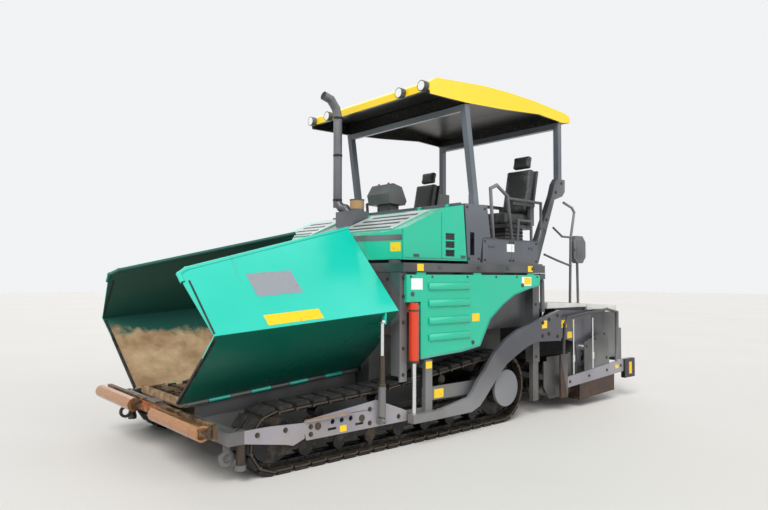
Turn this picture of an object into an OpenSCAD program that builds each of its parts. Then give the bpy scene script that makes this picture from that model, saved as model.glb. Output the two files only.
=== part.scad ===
// Tracked asphalt paver, parked: hopper wings folded in, canopy up, screed lifted just off the ground.
// Millimetres. The front faces -Y, the machine's left side is +X, the ground is z = 0.

/* [Tracks] */
// Distance from the centre line to the outer face of a track
track_out = 1178; // [1150:2:1182]
// Width of a track shoe
shoe_w = 305; // [260:5:340]
// Radius over the shoes at the front idler
idler_r = 265; // [245:5:285]
// Radius over the shoes at the rear sprocket
sprocket_r = 383; // [370:1:396]
// Y of the rear sprocket
sprocket_y = 406; // [390:2:420]
// Distance from idler to sprocket
wheel_base = 2766; // [2700:2:2780]
// Y of the lowest point of the upper run
slack_y = -1250; // [-1300:10:-1200]
// Height of the lowest point of the upper run
slack_z = 580; // [560:2:600]
// Number of shoes on one track
shoe_n = 46; // [40:1:52]
// Thickness of a shoe with its rubber pad
shoe_t = 46; // [36:1:56]
// Thickness of the chain under the shoes
chain_t = 34; // [28:1:40]
// Gap between two shoes
shoe_gap = 22; // [14:1:30]

/* [Chassis] */
// Distance from the centre line to the outer face of a main side plate
frame_half = 600; // [560:5:640]
// Thickness of the main side plates
frame_t = 30; // [20:2:40]
// Height of the belly plate above the ground
belly_z = 260; // [230:5:280]
// Y of the front bulkhead behind the hopper
bulkhead_y = -958; // [-964:2:-950]
// Y of the upper front wall
front_wall_y = -1067; // [-1075:1:-1055]
// Y of the rear wall of the tractor
rear_wall_y = 1100; // [1080:5:1110]
// Height of the platform deck
deck_z = 1690; // [1680:2:1700]
// Half width over the deck rails
deck_half = 1234; // [1228:1:1236]
// Half width of the engine bay shell
shell_half = 1080; // [1060:5:1100]
// Sheet thickness of the shell
shell_t = 10; // [6:1:16]

/* [Hopper] */
// Distance of a wing hinge from the centre line
wing_hinge_x = 450; // [440:2:460]
// Y of the front end of the wing hinge
wing_hinge_y = -2860; // [-2866:2:-2854]
// Height of the front end of the wing hinge
wing_hinge_z = 490; // [484:2:500]
// Rise of the hinge line towards the rear, degrees
wing_rise = 4; // [3.8:0.1:4.2]
// Distance out from hinge to crease, wing folded
crease_x = 818; // [800:2:824]
// Height of the crease above the hinge, wing folded
crease_h = 645; // [630:5:655]
// Lean of the upper panel inwards, degrees from level
panel_lean = 45; // [43:0.5:48]
// Width of the upper panel at the front
panel_front = 689; // [670:5:700]
// Width of the upper panel at the rear
panel_rear = 1112; // [1090:2:1120]
// Sheet thickness of a wing
wing_t = 12; // [8:1:16]
// Radius of the rolled rim
rim_r = 20; // [16:1:24]

/* [Push bar] */
// Y of the push bar pin
bar_pin_y = -2884; // [-2886:1:-2882]
// Height of the push rollers
roller_z = 415; // [405:5:425]
// Y of the push rollers
roller_y = -2970; // [-2974:1:-2966]
// Radius of a push roller
roller_r = 60; // [54:1:64]
// Length of a push roller
roller_len = 905; // [880:5:915]
// Half of the gap between the rollers
roller_gap = 240; // [230:5:260]

/* [Hood] */
// Half width of the engine hood
hood_half = 1143; // [1136:1:1150]
// Bottom edge of the hood
hood_z = 1722; // [1716:2:1730]
// Front edge of the hood on the centre line
hood_front_y = -1095; // [-1100:1:-1085]
// Front edge of the hood at its sides
hood_side_y = -984; // [-1000:2:-970]
// Top of the hood at its rear edge
hood_top_z = 2288; // [2280:2:2300]
// Sheet thickness of the hood
hood_t = 14; // [10:1:20]

/* [Side flaps] */
// Outer face of a side flap
flap_x = 1234; // [1230:1:1236]
// Thickness of a side flap
flap_t = 34; // [26:1:36]
// Height of the pressed ribs
rib_h = 7; // [5:1:7]
// Top edge of a side flap
flap_top_z = 1580; // [1576:1:1582]

/* [Levelling] */
// Distance of the levelling cylinders from the centre line
level_x = 1254; // [1252:1:1256]
// Y of the levelling cylinders
level_y = -961; // [-966:1:-956]
// Radius of a levelling barrel
level_r = 46; // [40:1:48]
// Radius of a levelling rod
level_rod_r = 22; // [18:1:26]
// Y of the tow pins
tow_pin_y = -640; // [-644:1:-636]
// Height of the tow pins
tow_pin_z = 262; // [258:1:266]
// Radius of a tow pin
tow_pin_r = 30; // [26:1:34]

/* [Screed] */
// Lift of the screed above its paving position, degrees
screed_lift = 2.2; // [2.1:0.1:2.6]
// Inner face of a tow arm
arm_in = 1246; // [1244:1:1248]
// Thickness of a tow arm
arm_t = 38; // [30:1:38]
// Half width of the main screed
screed_half = 1245; // [1235:1:1247]
// Y of the front edge of the main screed
screed_y = 1765; // [1755:5:1775]
// Depth of the main screed
screed_d = 385; // [370:5:388]
// Depth of an extension screed
ext_d = 395; // [380:5:410]
// Height of a heated screed box
screed_h = 180; // [170:5:190]
// Outer face of the side bars
bar_out = 1278; // [1274:1:1282]

/* [Augers] */
// Radius over the auger flights
auger_r = 190; // [175:5:200]
// Radius of the auger shaft
auger_shaft_r = 45; // [38:1:52]
// Height of the auger shaft
auger_z = 330; // [325:5:345]
// Y of the auger shaft
auger_y = 1450; // [1440:5:1460]

/* [Canopy] */
// Half width of the roof
roof_half = 1040; // [1020:5:1060]
// Front edge of the roof
roof_front_y = -545; // [-555:5:-535]
// Rear edge of the roof
roof_rear_y = 1950; // [1930:5:1970]
// Top of the roof
roof_top_z = 3650; // [3640:2:3660]
// Distance of the canopy posts from the centre line
post_x = 985; // [975:1:990]
// Width of a canopy post
post_w = 70; // [60:2:80]

/* [Hidden] */
$fn = 48;

// Gap left between faces that slide or swing past each other
fit = 6;
// Running clearance round a pin
pin_fit = 0.5;
// Gap between two pieces bolted together
seat = 0.3;

idler_y = sprocket_y - wheel_base;
track_in = track_out - shoe_w;
track_mid = track_out - shoe_w / 2;
belt_t = shoe_t + chain_t;

paint_green = "mediumturquoise";
paint_grey = "dimgray";
paint_light = "lightgray";
paint_yellow = "gold";
steel_dark = "#3a3a3e";
steel_pale = "silver";

// Copies its children to the other side of the centre line
module both() {
    children();
    mirror([1, 0, 0]) children();
}

// A plate cut to points [y, z], from x outwards by t
module yz_plate(points, x, t) {
    translate([x, 0, 0]) rotate([90, 0, 90]) linear_extrude(t) polygon(points);
}

// A cylinder along X from x0 to x1
module x_bar(x0, x1, y, z, r) {
    translate([x0, y, z]) rotate([0, 90, 0]) cylinder(r = r, h = x1 - x0);
}

// A cylinder along Y from y0 to y1
module y_bar(y0, y1, x, z, r) {
    translate([x, y0, z]) rotate([-90, 0, 0]) cylinder(r = r, h = y1 - y0);
}

// A box given by its lowest and highest corners
module span(a, b) {
    translate(a) cube(b - a);
}

// Points of an arc in the Y-Z plane
function arc(cy, cz, r, a0, a1, n) =
    [for (i = [0:n]) [cy + r * cos(a0 + (a1 - a0) * i / n), cz + r * sin(a0 + (a1 - a0) * i / n)]];

// A round tube through points, with a slightly larger ball at each bend
ball_over = 1.5;
module tube(points, r, over = ball_over) {
    for (i = [0:len(points) - 2]) {
        a = points[i];
        v = points[i + 1] - a;
        l = norm(v);
        translate(a) rotate([0, acos(v[2] / l), atan2(v[1], v[0])]) cylinder(r = r, h = l, $fn = 32);
        if (i > 0) translate(a) sphere(r = r + over, $fn = 32);
    }
}

// Points [y, z] moved to [x, y, z]
function at_x(points, x) = [for (p = points) [x, p[0], p[1]]];

// Track

// Direction in which a line from a point touches a wheel's rim
function touch(cy, cz, r, py, pz, side) =
    atan2(pz - cz, py - cy) + side * acos(r / norm([py - cy, pz - cz]));
rear_ang = touch(sprocket_y, sprocket_r, sprocket_r, slack_y, slack_z, -1);
front_ang = touch(idler_y, idler_r, idler_r, slack_y, slack_z, 1);
function tangent_len(cy, cz, r, py, pz) = sqrt(pow(norm([py - cy, pz - cz]), 2) - r * r);
end_1 = wheel_base;
end_2 = end_1 + PI * sprocket_r * (90 + rear_ang) / 180;
end_3 = end_2 + tangent_len(sprocket_y, sprocket_r, sprocket_r, slack_y, slack_z);
end_4 = end_3 + tangent_len(idler_y, idler_r, idler_r, slack_y, slack_z);
loop_len = end_4 + PI * idler_r * (270 - front_ang) / 180;

// Point on the track at distance s along the outside, sunk by d
function around(cy, r, d, a) = [cy + (r - d) * cos(a), r + (r - d) * sin(a)];
function slack(d, a) = [slack_y - d * cos(a), slack_z - d * sin(a)];
function mix(a, b, k) = a * (1 - k) + b * k;
function on_track(s, d) =
    s < end_1 ? [idler_y + s, d]
    : s < end_2 ? around(sprocket_y, sprocket_r, d, -90 + (s - end_1) / (end_2 - end_1) * (90 + rear_ang))
    : s < end_3 ? mix(around(sprocket_y, sprocket_r, d, rear_ang), slack(d, rear_ang), (s - end_2) / (end_3 - end_2))
    : s < end_4 ? mix(slack(d, front_ang), around(idler_y, idler_r, d, front_ang), (s - end_3) / (end_4 - end_3))
    : around(idler_y, idler_r, d, front_ang + (s - end_4) / (loop_len - end_4) * (270 - front_ang));

module track() {
    pitch = loop_len / shoe_n;
    pad = pitch - shoe_gap;
    outline = [for (i = [0:shoe_n - 1])
        for (p = [[0, 0], [pad / 2, 0], [pad, 0], [pad, shoe_t], [pitch, shoe_t]])
            on_track((i * pitch + p[0]) % loop_len, p[1])];
    inside = concat(arc(sprocket_y, sprocket_r, sprocket_r - belt_t, -90, rear_ang, 24),
        [slack(belt_t, (rear_ang + front_ang) / 2)],
        arc(idler_y, idler_r, idler_r - belt_t, front_ang, 270, 24));
    color(steel_dark) translate([track_in, 0, 0]) rotate([90, 0, 90]) linear_extrude(shoe_w)
        difference() {
            polygon(outline);
            polygon(inside);
        }
}
module track_left() { track(); }
module track_right() { mirror([1, 0, 0]) track(); }

// Idler, sprocket, rollers and the beam that carries them, with the final drive's cover
roller_n = 7;
track_roller_r = 62;
roller_play = 0.5;
beam_z0 = belt_t + 70;
beam_h = 150;
wheel_gap = 2;
drive_r = 192;
drive_x = 1238;
carrier_r = 45;
carriers = [[-1900, 421], [-1246, 450], [-420, 540]];
module running_gear() {
    color(steel_dark) both() {
        x_bar(track_mid - 70, track_mid + 70, idler_y, idler_r, idler_r - belt_t - wheel_gap);
        x_bar(track_mid - 45, track_mid + 45, sprocket_y, sprocket_r, sprocket_r - belt_t - wheel_gap);
        for (i = [0:roller_n - 1])
            x_bar(track_mid - 60, track_mid + 60, idler_y + (i + 1) * wheel_base / (roller_n + 1) - 20,
                belt_t + track_roller_r + roller_play, track_roller_r);
        span([track_mid - 55, idler_y, beam_z0], [track_mid + 55, sprocket_y, beam_z0 + beam_h]);
        for (c = carriers) {
            x_bar(track_mid - 60, track_mid + 60, c[0], c[1], carrier_r);
            span([track_mid - 20, c[0] - 25, beam_z0], [track_mid + 20, c[0] + 25, c[1]]);
        }
        x_bar(frame_half + seat, track_mid, sprocket_y, sprocket_r, 120);
        x_bar(frame_half + seat, track_mid, idler_y + 700, beam_z0 + 75, 60);
        x_bar(track_mid, drive_x - 30, sprocket_y, sprocket_r, drive_r - 20);
    }
    color(paint_grey) both() x_bar(drive_x - 30, drive_x, sprocket_y, sprocket_r, drive_r);
}

// Hopper floor with the hinge rails and the tunnel floor behind it
floor_t = 20;
floor_half = wing_hinge_x - 32;
floor_s0 = 30;
floor_s1 = 1889;
knuckle_r = 24;
knuckle_n = 9;
knuckle_gap = 4;
hinge_pin_r = 12;
knuckle_s0 = 60;
knuckle_l = (floor_s1 - knuckle_s0 - 20) / knuckle_n;
rail_t = 30;
// A point s along the hinge line and n above it, seen from the side
function hinge_pt(s, n) = [wing_hinge_y + s * cos(wing_rise) - n * sin(wing_rise),
    wing_hinge_z + s * sin(wing_rise) + n * cos(wing_rise)];
floor_end = hinge_pt(floor_s1, 0);
tunnel_half = 470;
tunnel_z0 = floor_end[1] - floor_t - seat;
tunnel_z1 = 900;
frame_top = 1000;
beam_y = -2700;
// Places its children in the frame of the hinge line
module on_hinge() {
    translate([0, wing_hinge_y, wing_hinge_z]) rotate([wing_rise, 0, 0]) children();
}
module hopper_floor() {
    color("darkgray") {
        yz_plate([hinge_pt(floor_s0, -floor_t), hinge_pt(floor_s0, 0), floor_end, [rear_wall_y, floor_end[1]],
            [rear_wall_y, floor_end[1] - floor_t], hinge_pt(floor_s1, -floor_t)], -floor_half, 2 * floor_half);
        both() {
            on_hinge() translate([wing_hinge_x, knuckle_s0 + 5, 0]) rotate([-90, 0, 0])
                cylinder(r = hinge_pin_r, h = knuckle_n * knuckle_l - 10);
            on_hinge() for (i = [0:2:knuckle_n - 1]) {
                s0 = knuckle_s0 + i * knuckle_l + knuckle_gap / 2;
                translate([wing_hinge_x, s0, 0]) rotate([-90, 0, 0])
                    cylinder(r = knuckle_r, h = knuckle_l - knuckle_gap, $fn = 40);
                translate([floor_half - 20, s0 + 1, 3 - floor_t]) cube([52, knuckle_l - knuckle_gap - 2, floor_t - 6]);
            }
            yz_plate([[beam_y + seat, belly_z + 16 + seat], hinge_pt(165, -floor_t), hinge_pt(floor_s1 - 8, -floor_t),
                [bulkhead_y - 4, belly_z + 16 + seat]], floor_half - rail_t - 4, rail_t);
        }
        span([-floor_half, hinge_pt(floor_s0, 0)[0] - 12, 489], [floor_half, hinge_pt(floor_s0, 0)[0] + 8, 556]);
        span([-floor_half, beam_y + seat, 400], [floor_half, beam_y + 40, 470]);
    }
}

module main_frame() {
    color(steel_dark) difference() {
        union() {
            both() yz_plate([[beam_y + seat, belly_z], [beam_y + seat, 400], [bulkhead_y, 480],
                [bulkhead_y, frame_top], [rear_wall_y, frame_top], [rear_wall_y, belly_z]],
                frame_half - frame_t, frame_t);
            span([-frame_half, beam_y + seat, belly_z], [frame_half, rear_wall_y, belly_z + 16]);
            span([-frame_half, bulkhead_y, belly_z], [frame_half, bulkhead_y + 20, frame_top]);
            span([-frame_half, rear_wall_y - 20, belly_z], [frame_half, rear_wall_y, frame_top]);
            span([-frame_half, bulkhead_y, frame_top - 16], [frame_half, rear_wall_y, frame_top]);
            both() span([carrier_half + pin_fit, rear_wall_y - 1, belly_z], [carrier_half + 26, rear_wall_y + 45, 590]);
        }
        span([-tunnel_half, bulkhead_y - 10, tunnel_z0], [tunnel_half, rear_wall_y + 10, tunnel_z1]);
    }
}

// Two slat conveyors side by side, from the sill to the augers
belt_in = 30;
belt_out = 395;
belt_h = 14;
belt_s0 = 90;
belt_end_y = 1150;
module conveyors() {
    color("sienna") both() yz_plate([hinge_pt(belt_s0, seat), hinge_pt(floor_s1, seat),
        [belt_end_y, floor_end[1] + seat], [belt_end_y, floor_end[1] + belt_h], hinge_pt(floor_s1, belt_h),
        hinge_pt(belt_s0, belt_h)], belt_in, belt_out - belt_in);
}

// Light plates along the outside of the tracks, with the link to the front beam
guard_x = track_out + 8;
guard_t = 12;
module side_guards() {
    color(steel_pale) both() difference() {
        union() {
            yz_plate([[-2119, 300], [-2100, 236], [-1000, 236], [-1000, 330], [-1359, 470], [-2119, 396]],
                guard_x, guard_t);
            span([guard_x, -2119, 388], [guard_x + 40, -1640, 396]);
        }
        for (y = [-1840, -1745, -1650])
            x_bar(guard_x - 1, guard_x + guard_t + 1, y, 350, 22);
        for (y = [-1890, -1600])
            span([guard_x - 1, y, 280], [guard_x + guard_t + 1, y + 90, 302]);
    }
    color(paint_grey) both() yz_plate([[-2660, 300], [-2660, 398], [-2441, 398], [-2119 - seat, 380],
        [-2119 - seat, 256], [-2226, 216], [-2300, 236]], guard_x, guard_t);
}

// Forks on the side plates that hold the feet of the wing cylinders
module wing_forks() {
    color(paint_grey) both() {
        for (s = [-1, 1])
            span([guard_x + guard_t + seat, cyl_y + s * (eye_half + eye_gap + 6) - 6, cyl_z0 - 26],
                [cyl_x + 24, cyl_y + s * (eye_half + eye_gap + 6) + 6, cyl_z0 + 26]);
        y_bar(cyl_y - eye_half - eye_gap - 11, cyl_y + eye_half + eye_gap + 11, cyl_x, cyl_z0, eye_pin_r);
    }
}

// Cross beam in front of the tracks with the push bar's pivot, corner brackets and spindles
pivot_half = 90;
pivot_y = beam_y - 156;
lug_t = 11;
lug_z0 = roller_z - 78;
lug_z1 = roller_z + 72;
module front_beam() {
    color(steel_dark) {
        span([-1110, beam_y - 90, 300], [1110, beam_y, 400]);
        span([-pivot_half, pivot_y + 19, lug_z0], [pivot_half, beam_y - 89, roller_z + 51]);
        span([-pivot_half, pivot_y, lug_z0], [pivot_half, pivot_y + 20, lug_z1]);
        for (z = [lug_z0, lug_z1 - lug_t])
            span([-pivot_half, bar_pin_y - 30, z], [pivot_half, pivot_y + 1, z + lug_t]);
        translate([0, bar_pin_y, lug_z0]) cylinder(r = 20, h = lug_z1 - lug_z0);
        both() {
            span([1080, beam_y - 90, 300], [guard_x + guard_t, -2660 - seat, 400]);
            translate([1150, -2663, 99]) cylinder(r = 30, h = 300);
            translate([1150, -2663, 99]) cylinder(r = 42, h = 40);
            difference() {
                x_bar(1080, 1104, -2752, 190, 62);
                x_bar(1079, 1105, -2752, 190, 34);
            }
            span([1080, -2776, 240], [1104, -2728, 301]);
        }
    }
}

// Walls of the engine bay and the space under the platform
shell_z = frame_top + seat;
step_z = 1180;
module body_shell() {
    color(paint_grey) difference() {
        yz_plate([[bulkhead_y, shell_z], [bulkhead_y, step_z], [front_wall_y, step_z], [front_wall_y, deck_z],
            [rear_wall_y, deck_z], [rear_wall_y, shell_z]], -shell_half, 2 * shell_half);
        yz_plate([[bulkhead_y + shell_t, shell_z + shell_t], [bulkhead_y + shell_t, step_z + shell_t],
            [front_wall_y + shell_t, step_z + shell_t], [front_wall_y + shell_t, deck_z + 1],
            [rear_wall_y - shell_t, deck_z + 1], [rear_wall_y - shell_t, shell_z + shell_t]],
            -shell_half + shell_t, 2 * (shell_half - shell_t));
    }
    color(paint_grey) both() {
        span([shell_half - 2, -1089, 645], [1200, -1000, 1600]);
        span([track_out + fit, -1089, 595], [1200, -1000, 646]);
        span([shell_half - 2, 960, 595], [1180, 1080, 1600]);
        span([1120, 970, 164], [1170, 1070, 600]);
    }
}

// Lugs for the tops of the lifting cylinders, bolted to the rear corner posts
module lift_lugs() {
    color(paint_grey) both() {
        for (x = [lift_x - 28, lift_x + 18])
            span([x, 1080 + seat, lift_top_z - 26], [x + 10, lift_top_y + 26, 1600]);
        span([lift_x - 28, 1080 + seat, 1592], [lift_x + 28, lift_top_y + 25, 1598]);
        x_bar(lift_x - 27, lift_x + 27, lift_top_y, lift_top_z, lift_pin_r);
    }
}

module engine_block() {
    color("gray") span([-420, -880, frame_top + seat + shell_t + seat], [420, -150, 1650]);
}

// Trays along both sides of the deck, joined across the front
rail_z0 = 1605;
rail_end_y = 1119;
module deck_rails() {
    color(paint_grey) {
        both() difference() {
            span([shell_half + seat, front_wall_y, rail_z0], [deck_half, rail_end_y, deck_z]);
            span([shell_half + 6, front_wall_y + 6, rail_z0 - 1], [deck_half - 6, rail_end_y - 6, deck_z - 6]);
        }
        span([-shell_half - 1, front_wall_y - 8, rail_z0], [shell_half + 1, front_wall_y - seat, deck_z]);
        both() span([shell_half + seat, front_wall_y - 8, rail_z0], [deck_half, front_wall_y + 1, deck_z]);
    }
}

// Silencer, intake cap and stack, on a tray that fills the hood's slot
slot_x0 = -370;
slot_x1 = 65;
slot_y = -465;
box_x0 = -290;
box_x1 = 20;
box_y0 = -720;
box_y1 = -500;
box_top = 2290;
stack_x = -300;
stack_y = -688;
stack_r = 50;
bend_z = 3388;
// Outline of the hood from the side along its middle
hood_slope_y = -450;
hood_slope_z = 2236;
hood_nose_z = 1905;
hood_lip_z = 1968;
function hood_mid(d) = [[hood_front_y + d, hood_lip_z - d], [hood_slope_y, hood_slope_z + 8 - d],
    [-158 - d, hood_top_z + 8 - d]];
module exhaust() {
    color(steel_dark) {
        span([box_x0, box_y0, 1660], [box_x1, box_y1, box_top]);
        tube([[stack_x, stack_y, 2345], [stack_x, stack_y, bend_z], [stack_x, -716, 3480], [stack_x, -790, 3570],
            [stack_x, -893, 3600]], stack_r);
        tube([[stack_x, stack_y, 2400], [stack_x + 40, stack_y + 20, 2345], [-210, -640, 2330],
            [-170, -620, 2270]], stack_r);
        translate([-70, -585, box_top - 1]) cylinder(r = 78, h = 30);
        translate([-70, -585, box_top + 124]) cylinder(r = 84, h = 12);
    }
    color("tan") translate([-70, -585, box_top + 28]) cylinder(r = 74, h = 97);
    color(paint_light) difference() {
        yz_plate([[hood_front_y, deck_z + seat], [hood_front_y, hood_lip_z], [hood_slope_y - fit - 15, 2228],
            [hood_slope_y - fit - 15, 2200], [hood_front_y + 30, hood_lip_z - 40], [hood_front_y + 30, deck_z + seat]],
            slot_x0 + fit, slot_x1 - slot_x0 - 2 * fit);
    }
}

// Platform deck, front columns, side boxes and the rear canopy brackets
col_y = -90;
hood_pin_y = -150;
hood_pin_z = 2312;
hood_pin_r = 7;
knuckle_out_r = 14;
hood_hinges = [-900, -480, 440, 860];
module platform() {
    color(paint_grey) {
        span([-shell_half, -100, deck_z + seat], [shell_half, 1200, deck_z + 20]);
        yz_plate([[col_y, deck_z + 19], [-134, 2330], [-122, 2330], [-78, deck_z + 19]], -1081, 2162);
        for (x = hood_hinges) {
            x_bar(x, x + 38, hood_pin_y, hood_pin_z, knuckle_out_r);
            x_bar(x, x + 78, hood_pin_y, hood_pin_z, hood_pin_r);
            span([x, hood_pin_y, hood_pin_z - 8], [x + 38, -126, hood_pin_z + 8]);
        }
        both() {
            span([shell_half - 1, -80, deck_z + seat], [hood_half, 1200, deck_z + 20]);
            difference() {
                yz_plate([[col_y, deck_z + 19], [-134, 2316], [215, 2320], [272, 1980], [141, 1975], [100, deck_z + 19]],
                    1080, 63);
                yz_plate([[col_y + 12, deck_z + 30], [-120, 2304], [204, 2308], [258, 1990], [128, 1985],
                    [88, deck_z + 30]], 1079, 56);
                span([1100, -56, 1784], [1150, 13, 2022]);
            }
            difference() {
                span([960, 146, deck_z + 19], [hood_half, 1116, 1972]);
                span([966, 152, deck_z + 30], [1137, 1110, 1966]);
            }
        }
    }
}

// Brackets that carry the rear of the canopy, hooked over the deck's rear edge
module rear_brackets() {
    color(paint_grey) both() {
        yz_plate([[1120, deck_z + 20 + seat], [1290, deck_z + 20 + seat], [1632, 2504], [1800, 2560], [1853, 2620],
            [1856, 2769], [1690, 2769], [1632, 2700], [1580, 2560]], 950, 70);
        span([952, 1200 + seat, deck_z - 10], [1018, 1288, deck_z + 30]);
    }
}

module handrails() {
    color(steel_pale) both() {
        tube(at_x([[415, 1974], [372, 2525], [479, 2570], [665, 2462], [742, 1975.3]], 1060), 19);
        tube(at_x([[681, 2440], [1290, 2432], [1290, 2100]], 1060), 17);
        tube([[1060, 1290, 2110], [1060, 1250, 2000], [1060, 1160, 1900], [1060, 1116 + seat, 1900]], 17);
        tube(at_x([[840, 1974], [860, 2205], [1100, 2203], [1100, 1972.4]], 1060), 17);
    }
}

module console() {
    color(steel_dark) {
        span([-480, 60, deck_z + 20 + seat], [-240, 200, 2440]);
        yz_plate([[-10, 2440], [-40, 2560], [40, 2684], [180, 2650], [260, 2480], [230, 2430]], -560, 400);
    }
}

// Seats: padded cushion and back on a bellows base, one each side
seat_x = 804;
module seat_frames() {
    color(steel_dark) both() {
        span([seat_x - 150, 760, deck_z + 20 + seat], [seat_x + 150, 1080, 2120]);
        span([seat_x - 220, 700, 2119], [seat_x + 220, 1140, 2160]);
        translate([seat_x - 200, 1150, 2120]) rotate([-12, 0, 0]) cube([400, 30, 720]);
        for (s = [-1, 1])
            span([seat_x + s * 222 - 22, 780, 2380], [seat_x + s * 222 + 22, 1190, 2415]);
        for (s = [-1, 1])
            span([seat_x + s * 212 - 20, 1120, 2159], [seat_x + s * 212 + 20, 1190, 2400]);
    }
}
module seat_cushions() {
    color("black") both() {
        span([seat_x - 190, 690, 2160 + seat], [seat_x + 190, 1150, 2290]);
        translate([seat_x - 190, 1150, 2120]) rotate([-12, 0, 0]) translate([0, -95 - seat, 175]) cube([380, 95, 560]);
        translate([seat_x - 120, 1150, 2120]) rotate([-12, 0, 0]) translate([0, -80 - seat, 750]) cube([240, 80, 160]);
        translate([seat_x - 60, 1150, 2120]) rotate([-12, 0, 0]) translate([0, -50 - seat, 730]) cube([120, 30, 30]);
    }
}

// Canopy
arch_lean = 8.4;
front_foot_y = 160;
foot_z = 1972 + seat;
knee_z = 2331;
post_drop = 252.5;
post_len = (roof_top_z - post_drop - knee_z) / cos(arch_lean);
// Point on a leaning post: l up its front face from the knee and d behind it
function lean_pt(l, d) = [front_foot_y - l * sin(arch_lean) + d * cos(arch_lean),
    knee_z + l * cos(arch_lean) + d * sin(arch_lean)];
module front_arch() {
    color(steel_dark) {
        both() yz_plate([[front_foot_y, foot_z], [front_foot_y, knee_z], lean_pt(post_len, 0), lean_pt(post_len, post_w),
            [front_foot_y + post_w, knee_z - 5], [front_foot_y + post_w, foot_z]], post_x - post_w / 2, post_w);
        yz_plate([lean_pt(post_len - 66, 2), lean_pt(post_len - 2, 2), lean_pt(post_len - 2, post_w - 2),
            lean_pt(post_len - 66, post_w - 2)], -post_x, 2 * post_x);
    }
}
module rear_arch() {
    color(steel_dark) {
        both() span([post_x - post_w / 2, 1715, 2769 + seat], [post_x + post_w / 2, 1785, roof_top_z - 180]);
        span([-post_x, 1715, roof_top_z - 250], [post_x, 1785, roof_top_z - 180]);
    }
}
roof_edge = roof_half - 5;
roof_outer = [[roof_front_y, roof_top_z - 210], [roof_front_y + 10, roof_top_z - 130], [roof_front_y + 100, roof_top_z - 70], [300, roof_top_z - 8],
    [700, roof_top_z], [1200, roof_top_z - 8], [roof_rear_y - 120, roof_top_z - 50], [roof_rear_y - 10, roof_top_z - 80],
    [roof_rear_y, roof_top_z - 150]];
roof_inner = [[roof_rear_y - 40, roof_top_z - 150], [roof_rear_y - 130, roof_top_z - 90], [1200, roof_top_z - 50], [700, roof_top_z - 40], [300, roof_top_z - 50],
    [roof_front_y + 110, roof_top_z - 110], [roof_front_y + 40, roof_top_z - 210]];
roof_skirt = [[roof_rear_y - 10, roof_top_z - 150], [1780, roof_top_z - 175], [1300, roof_top_z - 150], [610, roof_top_z - 210], [0, roof_top_z - 245], [roof_front_y + 10, roof_top_z - 250]];
module roof() {
    color(paint_yellow) {
        yz_plate(concat(roof_outer, roof_inner), -roof_edge, 2 * roof_edge);
        both() yz_plate(concat(roof_outer, roof_skirt), roof_half - 30, 30);
        span([-roof_edge, 1715, roof_top_z - 180 + seat], [roof_edge, 1785, roof_top_z - 60]);
        span([-roof_edge, 0, roof_top_z - 241.5], [roof_edge, 60, roof_top_z - 65]);
    }
}
module lamps() {
    color("black") both() for (x = [980, 640])
        translate([x, roof_front_y - seat - 60, roof_top_z - 170]) rotate([-90, 0, 0]) cylinder(r = 55, h = 60);
}

// Levelling cylinders, barrels up, with the guides for the tow points
level_barrel_z0 = 765;
level_barrel_z1 = 1292;
module level_cylinders() {
    color("orangered") both() difference() {
        translate([level_x, level_y, level_barrel_z0]) cylinder(r = level_r, h = level_barrel_z1 - level_barrel_z0);
        translate([level_x, level_y, level_barrel_z0 - 1])
            cylinder(r = level_rod_r + pin_fit, h = level_barrel_z1 - level_barrel_z0 - 30);
    }
    color(paint_grey) both() {
        translate([level_x, level_y, level_barrel_z1 - 1]) cylinder(r = level_r - 4, h = 28);
        span([1180 + seat, -990, level_barrel_z1 - 60], [level_x - level_r + 6, -930, level_barrel_z1 + 20]);
        span([1180 + seat, -998, level_barrel_z1 - 60], [1199, -930, level_barrel_z1 + 20]);
        span([shell_half + seat, -998, level_barrel_z1 - 20], [1184, -930, level_barrel_z1 + 20]);
    }
}
post_y0 = -794;
post_y1 = -705;
module tow_guides() {
    color(paint_grey) both() {
        span([1196, post_y0, 240], [1238, post_y1, 775]);
        span([1150, post_y0, 700], [1197, post_y1, shell_z + 60]);
        span([shell_half + seat, post_y0, shell_z + 20], [1151, post_y1, shell_z + 60]);
        span([guard_x, -1000 + seat, 240], [1197, post_y1, 330]);
        span([guard_x, post_y1 - 1, 380], [guard_x + 10, -36, 510]);
        span([guard_x, post_y0, 240], [1197, post_y1, 510]);
    }
}

// Carriages at the tow points, one each side, with the rods of the levelling cylinders
carriage_y0 = -1010;
carriage_y1 = -694;
tow_play = 18;
tow_out = arm_in + arm_t + tow_play;
module tow_points() {
    color(paint_grey) both() {
        span([tow_out - 58, carriage_y0, 222], [tow_out - 10, carriage_y1, 302]);
        span([tow_out - 76, carriage_y0, 222], [tow_out - 57, -905, 302]);
        span([tow_out - 11, carriage_y0, 222], [tow_out, tow_pin_y + 42, 302]);
        x_bar(arm_in + 4, tow_out - 5, tow_pin_y, tow_pin_z, tow_pin_r);
    }
    color(steel_pale) both() translate([level_x, level_y, 300]) cylinder(r = level_rod_r, h = 640);
}

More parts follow.
